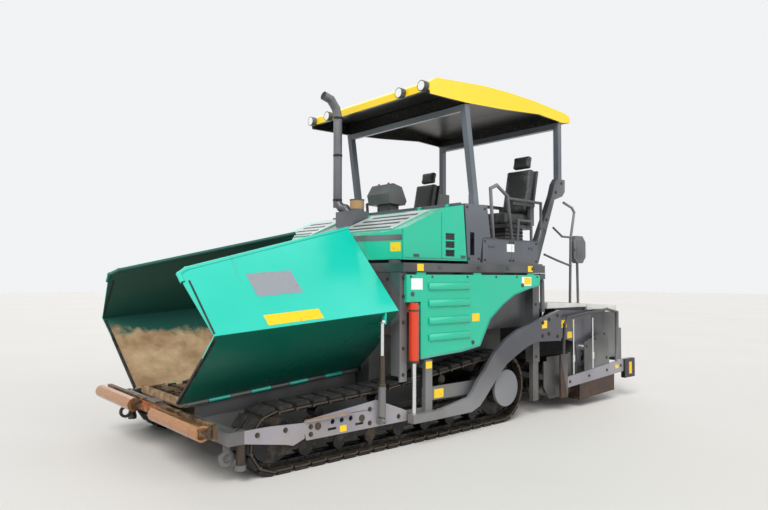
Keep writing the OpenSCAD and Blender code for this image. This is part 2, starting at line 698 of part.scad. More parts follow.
// Wings, modelled folded in the frame of the hinge line
lower_len = norm([crease_x, crease_h]);
lower_angle = atan2(crease_h, crease_x);
wing_front = -12;
crease_s0 = -38;
crease_s1 = 1746;
lower_outline = [[30, wing_front], [lower_len, crease_s0], [lower_len, crease_s1], [lower_len - 90, 1762],
    [610, 1766], [560, 1850], [420, 1877], [30, floor_s1 - 6]];
upper_outline = [[0, crease_s0], [0, crease_s1], [panel_rear, 1824], [panel_front, -10], [panel_front - 50, -84],
    [panel_front - 140, -84]];
pin_s = 1578;
pin_u = 1002;
module wing() {
    color(paint_green) on_hinge() translate([wing_hinge_x, 0, 0]) {
        difference() {
            union() {
                rotate([0, -lower_angle, 0]) {
                    linear_extrude(wing_t) polygon(lower_outline);
                    for (i = [1:2:knuckle_n - 1])
                        translate([0, knuckle_s0 + i * knuckle_l + knuckle_gap / 2 + 1, 2])
                            cube([44, knuckle_l - knuckle_gap - 2, wing_t - 4]);
                }
                for (i = [1:2:knuckle_n - 1])
                    translate([0, knuckle_s0 + i * knuckle_l + knuckle_gap / 2, 0]) rotate([-90, 0, 0])
                        cylinder(r = knuckle_r, h = knuckle_l - knuckle_gap, $fn = 40);
            }
            rotate([-90, 0, 0]) cylinder(r = hinge_pin_r + pin_fit, h = floor_s1 + 20);
        }
        translate([crease_x, 0, crease_h]) rotate([0, panel_lean - 180, 0]) {
            linear_extrude(wing_t) polygon(upper_outline);
            tube([for (p = [[panel_front - 140, -84], [panel_front - 50, -84], [panel_front, -10],
                [panel_rear, 1824]]) [p[0], p[1], wing_t / 2]], rim_r, 3);
        }
    }
    // Lug behind the cylinder's rod under the crease
    color(paint_green) translate([0, cyl_y + rod_r + 1, 0]) rotate([90, 0, 180]) mirror([1, 0, 0])
        linear_extrude(12) polygon([[cyl_x - 20, cyl_top - 22], [cyl_x + 20, cyl_top - 22], [cyl_x + 24, 1243],
            [cyl_x - 20, 1212]]);
}
module wing_left() { wing(); }
module wing_right() { mirror([1, 0, 0]) wing(); }

// Telescopic wing cylinders at the rear of the hopper
cyl_x = 1240;
cyl_y = -1335;
cyl_z0 = 290;
barrel_r = 34;
barrel_l = 325;
stage_r = 26;
stage_z0 = 562;
stage_l = 300;
rod_r = 18;
rod_z0 = 800;
cyl_top = 1160;
eye_pin_r = 15;
eye_half = 14;
eye_gap = 1.5;
module cyl_at(z) { translate([cyl_x, cyl_y, z]) children(); }
module wing_barrel() {
    color("gray") {
        difference() {
            cyl_at(cyl_z0 + 40) cylinder(r = barrel_r, h = barrel_l - 40);
            cyl_at(cyl_z0 + 50) cylinder(r = stage_r + pin_fit, h = barrel_l);
        }
        cyl_at(cyl_z0 + 22) cylinder(r = eye_half - 1, h = 20);
        difference() {
            y_bar(cyl_y - eye_half, cyl_y + eye_half, cyl_x, cyl_z0, 26);
            y_bar(cyl_y - 60, cyl_y + 60, cyl_x, cyl_z0, eye_pin_r + pin_fit);
        }
    }
}
module wing_stage() {
    color("tan") difference() {
        cyl_at(stage_z0) cylinder(r = stage_r, h = stage_l);
        cyl_at(stage_z0 + 12) cylinder(r = rod_r + pin_fit, h = stage_l);
    }
}
module wing_rod() {
    color("white") {
        cyl_at(rod_z0) cylinder(r = rod_r, h = cyl_top - rod_z0);
        y_bar(cyl_y - rod_r + 3, cyl_y + rod_r - 3, cyl_x, cyl_top, 22);
    }
}
module wing_barrel_left() { wing_barrel(); }
module wing_barrel_right() { mirror([1, 0, 0]) wing_barrel(); }
module wing_stage_left() { wing_stage(); }
module wing_stage_right() { mirror([1, 0, 0]) wing_stage(); }
module wing_rod_left() { wing_rod(); }
module wing_rod_right() { mirror([1, 0, 0]) wing_rod(); }

// Push bar and rollers
axle_r = 16;
end_gap = 4;
module push_bar() {
    color(steel_dark) {
        difference() {
            span([-1180, bar_pin_y - 20, roller_z - 56], [1180, bar_pin_y + 20, roller_z + 56]);
            translate([0, bar_pin_y, roller_z - 60]) cylinder(r = 20 + pin_fit, h = 120);
        }
        both() {
            for (x = [roller_gap - 12 - end_gap, roller_gap + roller_len + end_gap])
                span([x, roller_y - 30, roller_z - 36], [x + 12, bar_pin_y - 19, roller_z + 36]);
            x_bar(roller_gap - 12 - end_gap, roller_gap + roller_len + end_gap + 12, roller_y, roller_z, axle_r);
        }
    }
}
module push_roller() {
    color("tan") difference() {
        x_bar(roller_gap, roller_gap + roller_len, roller_y, roller_z, roller_r);
        x_bar(roller_gap - 1, roller_gap + roller_len + 1, roller_y, roller_z, axle_r + pin_fit);
    }
}
module push_roller_left() { push_roller(); }
module push_roller_right() { mirror([1, 0, 0]) push_roller(); }

// Engine hood: sides with a bowed front, a sloping top and a raised rear
hood_side = [[hood_side_y, hood_z], [-109, hood_z], [-158, hood_top_z], [hood_slope_y, hood_slope_z],
    [hood_side_y, hood_nose_z]];
module hood_block(d) {
    intersection() {
        linear_extrude(3000) polygon([[-hood_half + d, 0], [-hood_half + d, hood_side_y + d],
            [-720 + d / 3, hood_front_y + d], [720 - d / 3, hood_front_y + d], [hood_half - d, hood_side_y + d],
            [hood_half - d, 0]]);
        yz_plate([[-1200, hood_z - (d > 0 ? 1 : 0)], [-109 - d, hood_z - (d > 0 ? 1 : 0)], [-158 - d, hood_top_z + 8 - d],
            [hood_slope_y, hood_slope_z + 8 - d], [hood_front_y, hood_lip_z - d], [-1200, hood_lip_z - d]],
            -1200, 2400);
    }
}
// Everything behind the bowed front, moved back by d, with all that lies further out than w
module behind_front(d, w) {
    bow_y = hood_side_y + d + (hood_half - w) / (hood_half - 720) * (hood_front_y - hood_side_y);
    translate([0, 0, 1500]) linear_extrude(1500) polygon([[-1200, 100], [-1200, -1200], [-w, -1200], [-w, bow_y],
        [-720, hood_front_y + d], [720, hood_front_y + d], [w, bow_y], [w, -1200], [1200, -1200], [1200, 100]]);
}
nose_t = 20;
nose_gap = 12;
nose_half = hood_half - hood_t - fit - 1;
// Fixed front of the engine bay, under the hood's front edge
module nose() {
    color(paint_green) difference() {
        hood_block(0);
        hood_block(hood_t);
        behind_front(nose_t, nose_half);
        span([slot_x0, -1200, hood_z - 1], [slot_x1, slot_y, 2400]);
    }
    color(paint_grey) difference() {
        intersection() {
            hood_block(1);
            span([-1200, -1200, hood_z - 1], [1200, -900, hood_z + 12]);
        }
        behind_front(nose_t + 40, nose_half);
        span([slot_x0, -1200, hood_z - 2], [slot_x1, slot_y, 2400]);
    }
    color(paint_grey) both() span([1030, front_wall_y - 6, deck_z + seat], [1080, hood_side_y + 16, hood_z + 5]);
}
module hood() {
    color(paint_green) intersection() {
        difference() {
            hood_block(0);
            hood_block(hood_t);
            span([slot_x0, -1200, hood_z - 1], [slot_x1, slot_y, 2400]);
            span([-hood_half + hood_t + 2, -200, hood_z - 2], [hood_half - hood_t - 2, -90, hood_top_z - 14]);
            for (z = [1764, 1850, 1930])
                both() span([hood_half - hood_t - 1, -420, z], [hood_half + 1, -290, z + 66]);
        }
        behind_front(nose_t + nose_gap, hood_half - hood_t - 1);
    }
    color(paint_green) for (x = hood_hinges) difference() {
        union() {
            x_bar(x + 40, x + 78, hood_pin_y, hood_pin_z, knuckle_out_r);
            span([x + 40, -178, hood_top_z - 6], [x + 78, hood_pin_y, hood_pin_z - 4]);
        }
        x_bar(x + 39, x + 79, hood_pin_y, hood_pin_z, hood_pin_r + pin_fit);
    }
}

// Side flaps, hung from the deck rails
flap_outline = [[-1031, flap_top_z], [1021, flap_top_z], [1021, 1460], [832, 1430], [558, 1361], [362, 1263],
    [157, 1119], [-10, 854], [-285, 816], [-597, 803], [-853, 788], [-853, 1325], [-1031, 1325]];
flap_ribs = [1468, 1308, 1140, 984];
flap_pin_x = 1222;
flap_pin_z = 1595;
flap_hinges = [-900, -100, 800];
module side_flap() {
    color(paint_green) {
        yz_plate(flap_outline, flap_x - flap_t, flap_t);
        for (z = flap_ribs)
            span([flap_x - 1, -755, z - 36], [flap_x + rib_h, -170, z + 36]);
        for (y = flap_hinges) {
            translate([flap_pin_x, y, flap_pin_z]) rotate([-90, 0, 0]) cylinder(r = 8, h = 120);
            span([flap_pin_x - 5, y, flap_top_z - 1], [flap_pin_x + 5, y + 120, flap_pin_z]);
        }
    }
}
module side_flap_left() { side_flap(); }
module side_flap_right() { mirror([1, 0, 0]) side_flap(); }

// Augers on a carrier that slides up and down behind the tunnel
carrier_half = 60;
flight_n = 7;
flight_pitch = 150;
auger_end = 1150;
auger_gap = 1;
stub_r = 20;
stub_l = 24;
module auger_carrier() {
    color(steel_dark) {
        span([-carrier_half, rear_wall_y + fit, auger_z - 90], [carrier_half, auger_y - 40, auger_z + 110]);
        x_bar(-carrier_half, carrier_half, auger_y, auger_z, 90);
        span([-carrier_half, rear_wall_y + 60, 380], [carrier_half, rear_wall_y + 90, 440]);
        both() {
            yz_plate([[rear_wall_y + 50, 300], [rear_wall_y + 50, 590], [1215, 590], [1215, 640], [1640, 640],
                [1640, 160], [1250, 160]], 1176, 12);
            span([carrier_half - 1, rear_wall_y + 60, 380], [1188, rear_wall_y + 90, 440]);
            x_bar(auger_end + auger_gap, 1177, auger_y, auger_z, 30);
            x_bar(auger_end - stub_l, 1177, auger_y, auger_z, stub_r);
            x_bar(carrier_half - 1, carrier_half + stub_l, auger_y, auger_z, stub_r);
        }
    }
}
module auger() {
    color(paint_grey) {
        difference() {
            x_bar(carrier_half + auger_gap, auger_end, auger_y, auger_z, auger_shaft_r);
            x_bar(carrier_half, carrier_half + stub_l + auger_gap, auger_y, auger_z, stub_r + pin_fit);
            x_bar(auger_end - stub_l - auger_gap, auger_end + 1, auger_y, auger_z, stub_r + pin_fit);
        }
        for (i = [0:flight_n - 1]) difference() {
            translate([110 + i * flight_pitch, auger_y, auger_z]) rotate([0, 90, 0]) rotate([0, 12, 0])
                cylinder(r = auger_r - 4, h = 12);
            x_bar(carrier_half, auger_end, auger_y, auger_z, auger_shaft_r - 1);
        }
    }
}
module auger_left() { auger(); }
module auger_right() { mirror([1, 0, 0]) auger(); }

// Places its children, drawn in the paving position, lifted about the tow pins
module lifted() {
    translate([0, tow_pin_y, tow_pin_z]) rotate([screed_lift, 0, 0]) translate([0, -tow_pin_y, -tow_pin_z])
        children();
}
// Point [y, z] of the paving position after the lift
function lift_pt(y, z) = [tow_pin_y + (y - tow_pin_y) * cos(screed_lift) - (z - tow_pin_z) * sin(screed_lift),
    tow_pin_z + (y - tow_pin_y) * sin(screed_lift) + (z - tow_pin_z) * cos(screed_lift)];
arm_outline = [[tow_pin_y - 10, 304], [-608, 307], [-235, 368], [-170, 420], [-92, 523], [14, 609], [160, 772],
    [349, 903], [545, 989], [938, 1089], [1338, 1178], [1357, 826], [893, 843], [725, 804], [523, 720], [366, 648],
    [233, 541], [94, 414], [0, 322], [-73, 262], [-197, 219], [-567, 217], [tow_pin_y - 10, 220]];
lift_cheek_x = 1200;
module tow_arms() {
    color(paint_grey) both() {
        difference() {
            union() {
                yz_plate(arm_outline, arm_in, arm_t);
                x_bar(arm_in, arm_in + arm_t, tow_pin_y, tow_pin_z, 44);
            }
            x_bar(arm_in - 1, arm_in + arm_t + 1, tow_pin_y, tow_pin_z, tow_pin_r + pin_fit);
        }
        difference() {
            span([lift_cheek_x, lift_eye_y - 34, lift_eye_z - 34], [lift_cheek_x + 10, lift_eye_y + 34, lift_eye_z + 34]);
            x_bar(lift_cheek_x - 1, lift_cheek_x + 9, lift_eye_y, lift_eye_z, lift_pin_r);
        }
        span([lift_cheek_x + 9, lift_eye_y - 20, lift_eye_z - 20], [arm_in + 1, lift_eye_y + 20, lift_eye_z + 20]);
    }
}
// Inner plates of the screed's frame, joined to the tow arms
module arm_plates() {
    color(paint_grey) both() {
        span([1190, 1250, 860], [arm_in - seat, 1335, 1140]);
        difference() {
            yz_plate([[1250, 860], [1250, 1140], [1443, 1172], [2140, 1142], [2140, 480], [1870, 480], [1790, 774],
                [1420, 860]], plate_x, 14);
            for (z = guide_z)
                x_bar(plate_x - 1, plate_x + 15, guide_y, z, guide_r + pin_fit);
        }
    }
}
ext_y = screed_y + screed_d + 16;
plate_x = 1178;
housing_half = plate_x - seat;
guide_y = 1950;
guide_z = [700, 560];
guide_r = 45;
guide_len = 2120;
box_t = 15;
sole_t = 25;
wall_t = 12;
module main_screed() {
    color("saddlebrown") lifted() difference() {
        span([-screed_half, screed_y, 1], [screed_half, screed_y + screed_d, screed_h]);
        span([-screed_half + box_t, screed_y + box_t, 1 + sole_t], [screed_half - box_t, screed_y + screed_d - box_t,
            screed_h - box_t]);
    }
    color(steel_dark) {
        difference() {
            lifted() difference() {
                span([-housing_half, screed_y + 15, screed_h - 1], [housing_half, screed_y + screed_d - 8, 1050]);
                span([-housing_half + 28, screed_y + 15 + wall_t, screed_h + wall_t], [housing_half - 28,
                    screed_y + screed_d - 8 - wall_t, 1050 - wall_t]);
            }
            for (z = guide_z)
                x_bar(-housing_half - 1, housing_half + 1, guide_y, z, guide_r + pin_fit);
        }
        lifted() difference() {
            span([-1150, screed_y - 60, 80], [1150, screed_y + 16, 560]);
            span([-1150 + wall_t, screed_y - 60 + wall_t, 80 + wall_t], [1150 - wall_t, screed_y + 4, 560 - wall_t]);
        }
    }
}
module walkway() {
    color("whitesmoke") difference() {
        yz_plate([[1313, 1190], [1313, 1259], [1618, 1252], [2144, 1229], [2144, 1192], [1780, 1192]], -1130, 2260);
        yz_plate([[1323, 1200], [1323, 1248.5], [1618, 1242], [2134, 1219.5], [2134, 1202], [1780, 1202]], -1120, 2240);
    }
    color(steel_dark) both() yz_plate([[1500, 1150], [1500, 1190.5], [2100, 1192.5],
        lift_pt(2130, 1050 + seat), lift_pt(1790, 1050 + seat)], 1080, 20);
}
module screed_rails() {
    color(steel_dark) both() {
        tube(at_x([[1825, 1243.9], [1850, 2040], [1932, 2363], [1883, 2416], [1700, 2468]], 1100), 16);
        tube(at_x([[2001, 1236.8], [1990, 1745]], 1100), 16);
        yz_plate([[1898, 1800], [1898, 2000], [1960, 2073], [2090, 2073], [2159, 2000], [2159, 1810], [2090, 1733],
            [1970, 1733]], 1050, 66);
        tube(at_x([[1298, 1825], [1560, 1760], [1854, 1696]], 1100), 13);
        tube(at_x([[1481, 2151], [1667, 2052], [1859, 2049]], 1100), 13);
    }
}
gate_in = screed_half + 8;
rear_end_y = 3039.5;
module extension(guide) {
    color("saddlebrown") {
        lifted() difference() {
            span([30, ext_y, 1], [gate_in + 1, ext_y + ext_d, screed_h]);
            span([30 + box_t, ext_y + box_t, 1 + sole_t], [gate_in - box_t, ext_y + ext_d - box_t, screed_h - box_t]);
        }
        yz_plate([[1765, 94], [2559, 125], [2562, 440], [1768, 400]], gate_in, 10);
    }
    color(steel_dark) {
        lifted() difference() {
            span([40, ext_y + 6, screed_h - 1], [1165, ext_y + ext_d - 6, 1020]);
            span([40 + wall_t, ext_y + 6 + wall_t, screed_h + wall_t], [1165 - wall_t, ext_y + ext_d - 6 - wall_t,
                1020 - wall_t]);
        }
        difference() {
            span([44, 2500, 520], [1161, 2870, 1110]);
            span([44 + wall_t, 2560, 520 + wall_t], [1161 - wall_t, 2870 - wall_t, 1110 - wall_t]);
        }
        difference() {
            span([100, 2869, 457], [1100, rear_end_y, 880]);
            span([116, 2880, 473], [1084, rear_end_y - 14, 864]);
        }
        span([1164, 2300, 520], [gate_in + 4, 2360, 580]);
        yz_plate([[1875, 399], [1875, 774], [2100, 832], [2321, 890], [2407, 900], [2450, 439]], gate_in, 10);
        x_bar(gate_in + 1 - guide_len, gate_in + 1, guide_y, guide_z[guide], guide_r);
        yz_plate([[1349, 165], [1349, 668], [1484, 668], [1484, 165]], 1258, 26);
        span([1244, 2767, 257], [1300, 3020, 499]);
    }
    color(paint_light) {
        yz_plate([[1483, 270], [1483, 391], [2768, 499], [2768, 343]], bar_out - 22, 22);
        tube(at_x([[1432, 660], [1460, 1006], [1532, 1083], [2404, 1157], [2628, 1113], [2616, 470]], 1262), 17, 3);
    }
}
module extension_left() { extension(0); }
module extension_right() { mirror([1, 0, 0]) extension(1); }
module extension_walk() {
    color("whitesmoke") difference() {
        yz_plate([[2162, 1150], [2162, 1228], [2868, 1190], [2868, 1110 + seat], [2542, 1110 + seat], [2534, 1152]],
            12, 1118);
        yz_plate([[2172, 1160], [2172, 1217], [2858, 1180], [2858, 1120 + seat], [2552, 1120 + seat], [2544, 1161]],
            22, 1098);
    }
}
module extension_walk_left() { extension_walk(); }
module extension_walk_right() { mirror([1, 0, 0]) extension_walk(); }

// Cylinders that lift the screed, one each side inside the tow arms
lift_x = 1165;
lift_top_y = 1155;
lift_top_z = 1560;
lift_eye_y = 1172;
lift_pin_r = 12;
lift_eye_z = 880;
lift_r = 26;
lift_rod_r = 16;
lift_len = norm([lift_eye_y - lift_top_y, lift_eye_z - lift_top_z]);
lift_tilt = atan2(lift_eye_y - lift_top_y, lift_top_z - lift_eye_z);
// Places its children with +Z pointing down the cylinder from its top pin
module on_lift() {
    translate([lift_x, lift_top_y, lift_top_z]) rotate([lift_tilt, 0, 0]) mirror([0, 0, 1]) children();
}
module lift_barrels() {
    color("gray") both() on_lift() {
        difference() {
            translate([0, 0, 40]) cylinder(r = lift_r, h = 360);
            translate([0, 0, 60]) cylinder(r = lift_rod_r + pin_fit, h = 400);
        }
        difference() {
            union() {
                rotate([0, 90, 0]) translate([0, 0, -15]) cylinder(r = 24, h = 30);
                translate([-14, -14, 0]) cube([28, 28, 42]);
            }
            rotate([0, 90, 0]) translate([0, 0, -20]) cylinder(r = lift_pin_r + pin_fit, h = 40);
        }
    }
}
module lift_rods() {
    color(steel_pale) both() on_lift() {
        translate([0, 0, 260]) cylinder(r = lift_rod_r, h = lift_len - 260);
        difference() {
            translate([0, 0, lift_len]) rotate([0, 90, 0]) translate([0, 0, -16]) cylinder(r = 24, h = lift_cheek_x - lift_x + 14.5);
            translate([0, 0, lift_len]) rotate([0, 90, 0]) translate([0, 0, -20]) cylinder(r = lift_pin_r, h = 80);
        }
    }
}

main_frame();
hopper_floor();
conveyors();
track_left();
track_right();
running_gear();
side_guards();
wing_forks();
front_beam();
body_shell();
lift_lugs();
engine_block();
deck_rails();
exhaust();
platform();
rear_brackets();
handrails();
console();
seat_frames();
seat_cushions();
front_arch();
rear_arch();
roof();
lamps();
level_cylinders();
tow_guides();
wing_left();
wing_right();
wing_barrel_left();
wing_barrel_right();
wing_stage_left();
wing_stage_right();
wing_rod_left();
wing_rod_right();
push_bar();
push_roller_left();
push_roller_right();
hood();
side_flap_left();
side_flap_right();
auger_carrier();
auger_left();
auger_right();
tow_points();
tow_arms();
arm_plates();
main_screed();
walkway();
screed_rails();
extension_left();
extension_right();
extension_walk_left();
extension_walk_right();
lift_barrels();
lift_rods();
nose();
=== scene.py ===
import math

import bmesh
import bpy
from mathutils import Matrix, Vector


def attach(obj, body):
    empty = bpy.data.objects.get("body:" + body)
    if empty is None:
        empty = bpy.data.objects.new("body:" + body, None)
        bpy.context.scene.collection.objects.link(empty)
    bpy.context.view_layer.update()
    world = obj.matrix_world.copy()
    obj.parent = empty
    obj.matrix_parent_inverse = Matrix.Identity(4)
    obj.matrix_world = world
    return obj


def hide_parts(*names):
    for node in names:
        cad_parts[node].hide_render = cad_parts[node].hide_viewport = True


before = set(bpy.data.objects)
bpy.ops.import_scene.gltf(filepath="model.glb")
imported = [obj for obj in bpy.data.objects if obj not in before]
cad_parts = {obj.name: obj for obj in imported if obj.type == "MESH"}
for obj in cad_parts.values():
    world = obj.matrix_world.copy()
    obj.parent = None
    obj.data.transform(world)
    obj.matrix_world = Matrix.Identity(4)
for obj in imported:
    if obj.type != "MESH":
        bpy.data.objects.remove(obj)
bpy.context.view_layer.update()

# Camera: at eye height off the front left corner, looking level along the machine's side.
# Its place and lens come from the photograph's perspective; the frame is 768 by 510.
eye = Vector((5.526, -5.020, 1.561))
azimuth, pitch, roll = math.radians(49.16), math.radians(1.94), math.radians(0.135)
camera_data = bpy.data.cameras.new("camera")
camera_data.sensor_width = 36.0
camera_data.lens = 636.15 / 768 * 36.0
camera = bpy.data.objects.new("camera", camera_data)
camera.location = eye
camera.rotation_euler = (
    Matrix.Rotation(azimuth, 3, "Z") @ Matrix.Rotation(math.pi / 2 + pitch, 3, "X") @ Matrix.Rotation(roll, 3, "Z")
).to_euler()
bpy.context.collection.objects.link(camera)
bpy.context.scene.camera = camera
bpy.context.scene.view_settings.view_transform = "Standard"


# Floor: a wide pale studio floor that keeps the machine's shadow.
# Its colour, a warm light grey, stands for the wet yard, which is left out.
def linear(hex_colour):
    parts = [int(hex_colour[i:i + 2], 16) / 255 for i in (1, 3, 5)]
    return [c / 12.92 if c <= 0.04045 else ((c + 0.055) / 1.055) ** 2.4 for c in parts] + [1.0]


def add(tree, kind, inputs, **settings):
    node = tree.nodes.new(kind)
    for name, value in settings.items():
        setattr(node, name, value)
    for name, value in inputs.items():
        if isinstance(value, bpy.types.NodeSocket):
            tree.links.new(value, node.inputs[name])
        else:
            node.inputs[name].default_value = value
    return node.outputs


def blank(name):
    """A new material, its empty node tree and the object's own coordinates."""
    material = bpy.data.materials.new(name)
    material.use_nodes = True
    tree = material.node_tree
    tree.nodes.clear()
    return material, tree, add(tree, "ShaderNodeTexCoord", {})["Object"]


def noise(tree, place, scale, detail, rough=0.5):
    inputs = {"Vector": place, "Scale": scale, "Detail": detail, "Roughness": rough}
    return add(tree, "ShaderNodeTexNoise", inputs)["Fac"]


def surfaced(material, inputs):
    surface = add(material.node_tree, "ShaderNodeBsdfPrincipled", inputs)
    add(material.node_tree, "ShaderNodeOutputMaterial", {"Surface": surface["BSDF"]})
    return material


def studio_floor():
    material, tree, place = blank("studio_floor")
    cloud = noise(tree, place, 0.35, 4.0)
    tones = {"Factor": cloud, "A": linear("#dcd8d2"), "B": linear("#e6e3de")}
    tone = add(tree, "ShaderNodeMix", tones, data_type="RGBA")["Result"]
    return surfaced(material, {"Base Color": tone, "Roughness": 0.6})


floor_mesh = bmesh.new()
bmesh.ops.create_grid(floor_mesh, x_segments=1, y_segments=1, size=60.0)
floor_data = bpy.data.meshes.new("floor")
floor_mesh.to_mesh(floor_data)
floor = bpy.data.objects.new("floor", floor_data)
floor_data.materials.append(studio_floor())
bpy.context.collection.objects.link(floor)


# Light: an overcast sky as three soft suns, strongest from the front left, weaker from the side and back.
# The backdrop is white to the camera and in reflections only.
def maths(tree, operation, one, two, **settings):
    return add(tree, "ShaderNodeMath", {0: one, 1: two}, operation=operation, **settings)[0]


world = bpy.data.worlds.new("studio")
bpy.context.scene.world = world
world.use_nodes = True
sky = world.node_tree
sky.nodes.clear()
rays = add(sky, "ShaderNodeLightPath", {})
seen = maths(sky, "MAXIMUM", rays["Is Camera Ray"], rays["Is Glossy Ray"])
seen = maths(sky, "MAXIMUM", seen, rays["Is Transmission Ray"])
dome = add(sky, "ShaderNodeBackground", {"Color": linear("#e9eef4"), "Strength": 0.36})
backdrop = add(sky, "ShaderNodeBackground", {"Color": linear("#f7f8fa"), "Strength": 0.95})
shown = add(sky, "ShaderNodeMixShader", {0: seen, 1: dome["Background"], 2: backdrop["Background"]})
add(sky, "ShaderNodeOutputWorld", {"Surface": shown[0]})
for name, place, softness, power in (("sky", (4.0, -6.0, 8.0), 35, 2.7), ("side", (9.0, 3.0, 5.5), 50, 0.9),
                                     ("back", (-8.0, 3.0, 8.0), 50, 0.25)):
    lamp_data = bpy.data.lights.new(name, "SUN")
    lamp_data.angle = math.radians(softness)
    lamp_data.energy = power
    lamp = bpy.data.objects.new(name, lamp_data)
    lamp.location = place
    lamp.rotation_euler = (Vector((0, -0.5, 1.2)) - Vector(place)).to_track_quat("-Z", "Y").to_euler()
    bpy.context.collection.objects.link(lamp)


# Tracks: forged chains with bolted steel shoes and rubber pads, dragged through grit for years.
# The shoes' edges are rubbed bare and brown; the pads stay nearly black.
def scaled(tree, value, low=0.0, high=1.0, to_low=0.0, to_high=1.0):
    ends = {"From Min": low, "From Max": high, "To Min": to_low, "To Max": to_high}
    return add(tree, "ShaderNodeMapRange", {"Value": value, **ends})["Result"]


def mix(tree, factor, one, two, **settings):
    """Mixes two colours, each a hex string or another node's colour."""
    one, two = (linear(colour) if isinstance(colour, str) else colour for colour in (one, two))
    return add(tree, "ShaderNodeMixRGB", {"Fac": factor, "Color1": one, "Color2": two}, **settings)["Color"]


def bump(tree, strength, distance, height):
    return add(tree, "ShaderNodeBump", {"Strength": strength, "Distance": distance, "Height": height})["Normal"]


def grimy(tree, place, scale, low, high):
    return scaled(tree, noise(tree, place, scale, 7.0, 0.62), low, high)


def cast_steel(name, dark, dust, low=0.46, high=0.66, rough=0.62, metal=0.55):
    material, tree, place = blank(name)
    caked = grimy(tree, place, 9.0, low, high)
    grain = noise(tree, place, 90.0, 5.0)
    shade = scaled(tree, grain, 0.3, 0.7, 0.72, 1.1)
    tone = mix(tree, 1.0, mix(tree, caked, dark, dust), shade, blend_type="MULTIPLY")
    dull = scaled(tree, caked, to_low=rough - 0.18, to_high=rough + 0.25)
    bare = scaled(tree, caked, to_low=metal, to_high=0.0)
    pits = bump(tree, 0.35, 0.002, grain)
    return surfaced(material, {"Base Color": tone, "Roughness": dull, "Metallic": bare, "Normal": pits})


def finish(node_name, material):
    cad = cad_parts[node_name]
    cad.data.materials.clear()
    cad.data.materials.append(material)


def finish_part(node_name, material, chosen):
    """Gives a second material to the faces of a node whose middle and normal pass the test."""
    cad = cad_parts[node_name]
    cad.data.materials.append(material)
    last = len(cad.data.materials) - 1
    for face in cad.data.polygons:
        if chosen(cad.matrix_world @ face.center, cad.matrix_world.to_3x3() @ face.normal):
            face.material_index = last


def piece(name, mesh, material, body, smooth=False):
    bmesh.ops.recalc_face_normals(mesh, faces=mesh.faces)
    data = bpy.data.meshes.new(name)
    mesh.to_mesh(data)
    mesh.free()
    data.materials.append(material)
    if smooth:
        data.shade_smooth()
        data.set_sharp_from_angle(angle=math.radians(35))
    shown_piece = bpy.data.objects.new(name, data)
    bpy.context.collection.objects.link(shown_piece)
    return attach(shown_piece, body)


def block(mesh, low, high, round_by=0.0):
    low, high = Vector(low), Vector(high)
    verts = bmesh.ops.create_cube(mesh, size=1.0)["verts"]
    bmesh.ops.scale(mesh, verts=verts, vec=high - low)
    if round_by:
        edges = list({e for v in verts for e in v.link_edges})
        made = bmesh.ops.bevel(mesh, geom=edges, offset=round_by, segments=2, profile=0.5, affect="EDGES", material=-1)
        verts = list({v for f in made["faces"] for v in f.verts} | {v for v in verts if v.is_valid})
    bmesh.ops.translate(mesh, verts=verts, vec=(low + high) / 2)
    return verts


def blocks(*rows):
    """A new mesh of blocks: each row its low corner, high corner and rounding."""
    mesh = bmesh.new()
    for row in rows:
        block(mesh, *row)
    return mesh


def turned(mesh, verts, angle, axis, move):
    """Turns verts about an axis through the origin, then moves them."""
    bmesh.ops.rotate(mesh, verts=verts, cent=(0, 0, 0), matrix=Matrix.Rotation(angle, 3, axis))
    bmesh.ops.translate(mesh, verts=verts, vec=move)


def rod(mesh, start, end, radius, sides=16, end_radius=None):
    start, end = Vector(start), Vector(end)
    verts = bmesh.ops.create_cone(mesh, cap_ends=True, segments=sides, radius1=radius, radius2=end_radius or radius,
                                  depth=(end - start).length)["verts"]
    turn = (end - start).to_track_quat("Z", "Y").to_matrix()
    bmesh.ops.rotate(mesh, verts=verts, cent=(0, 0, 0), matrix=turn)
    bmesh.ops.translate(mesh, verts=verts, vec=(start + end) / 2)
    return verts


def plate(mesh, outline, x0, x1):
    verts = [mesh.verts.new((x0, y, z)) for y, z in outline]
    face = mesh.faces.new(verts)
    grown = bmesh.ops.extrude_face_region(mesh, geom=[face])["geom"]
    new_verts = [g for g in grown if isinstance(g, bmesh.types.BMVert)]
    bmesh.ops.translate(mesh, verts=new_verts, vec=(x1 - x0, 0, 0))
    return verts + new_verts


def mirrored(mesh):
    geometry = mesh.verts[:] + mesh.edges[:] + mesh.faces[:]
    copies = bmesh.ops.duplicate(mesh, geom=geometry)["geom"]
    verts = [g for g in copies if isinstance(g, bmesh.types.BMVert)]
    bmesh.ops.scale(mesh, verts=verts, vec=(-1, 1, 1))


def extra(name, mesh, material, body="chassis", both=False, smooth=False):
    """A piece in its slot on a body; both adds its mirror image."""
    if both:
        mirrored(mesh)
    return piece(name, mesh, material, body, smooth)


sides = (("left", 1), ("right", -1))
track_steel = cast_steel("cast_track_steel", "#121211", "#4a3f33", 0.52, 0.70)
rubbed_steel = cast_steel("rubbed_shoe_edges", "#4f463b", "#2a2622", 0.50, 0.66, 0.5)


def pad_rubber():
    # moulded rubber, about 70 Shore, greyed by dust in its 5 mm pores
    material, tree, place = blank("moulded_pad_rubber")
    dust = grimy(tree, place, 14.0, 0.48, 0.72)
    tone = mix(tree, dust, "#0e0e0e", "#37312a")
    pores = bump(tree, 0.3, 0.002, noise(tree, place, 200.0, 3.0))
    return surfaced(material, {"Base Color": tone, "Roughness": 0.82, "Normal": pores})


track_mid, track_half, shoes = 1.0255, 0.1525, 46
idler_y, idler_r, sprocket_y, sprocket_r = -2.360, 0.265, 0.406, 0.383
slack_y, slack_z = -1.250, 0.580


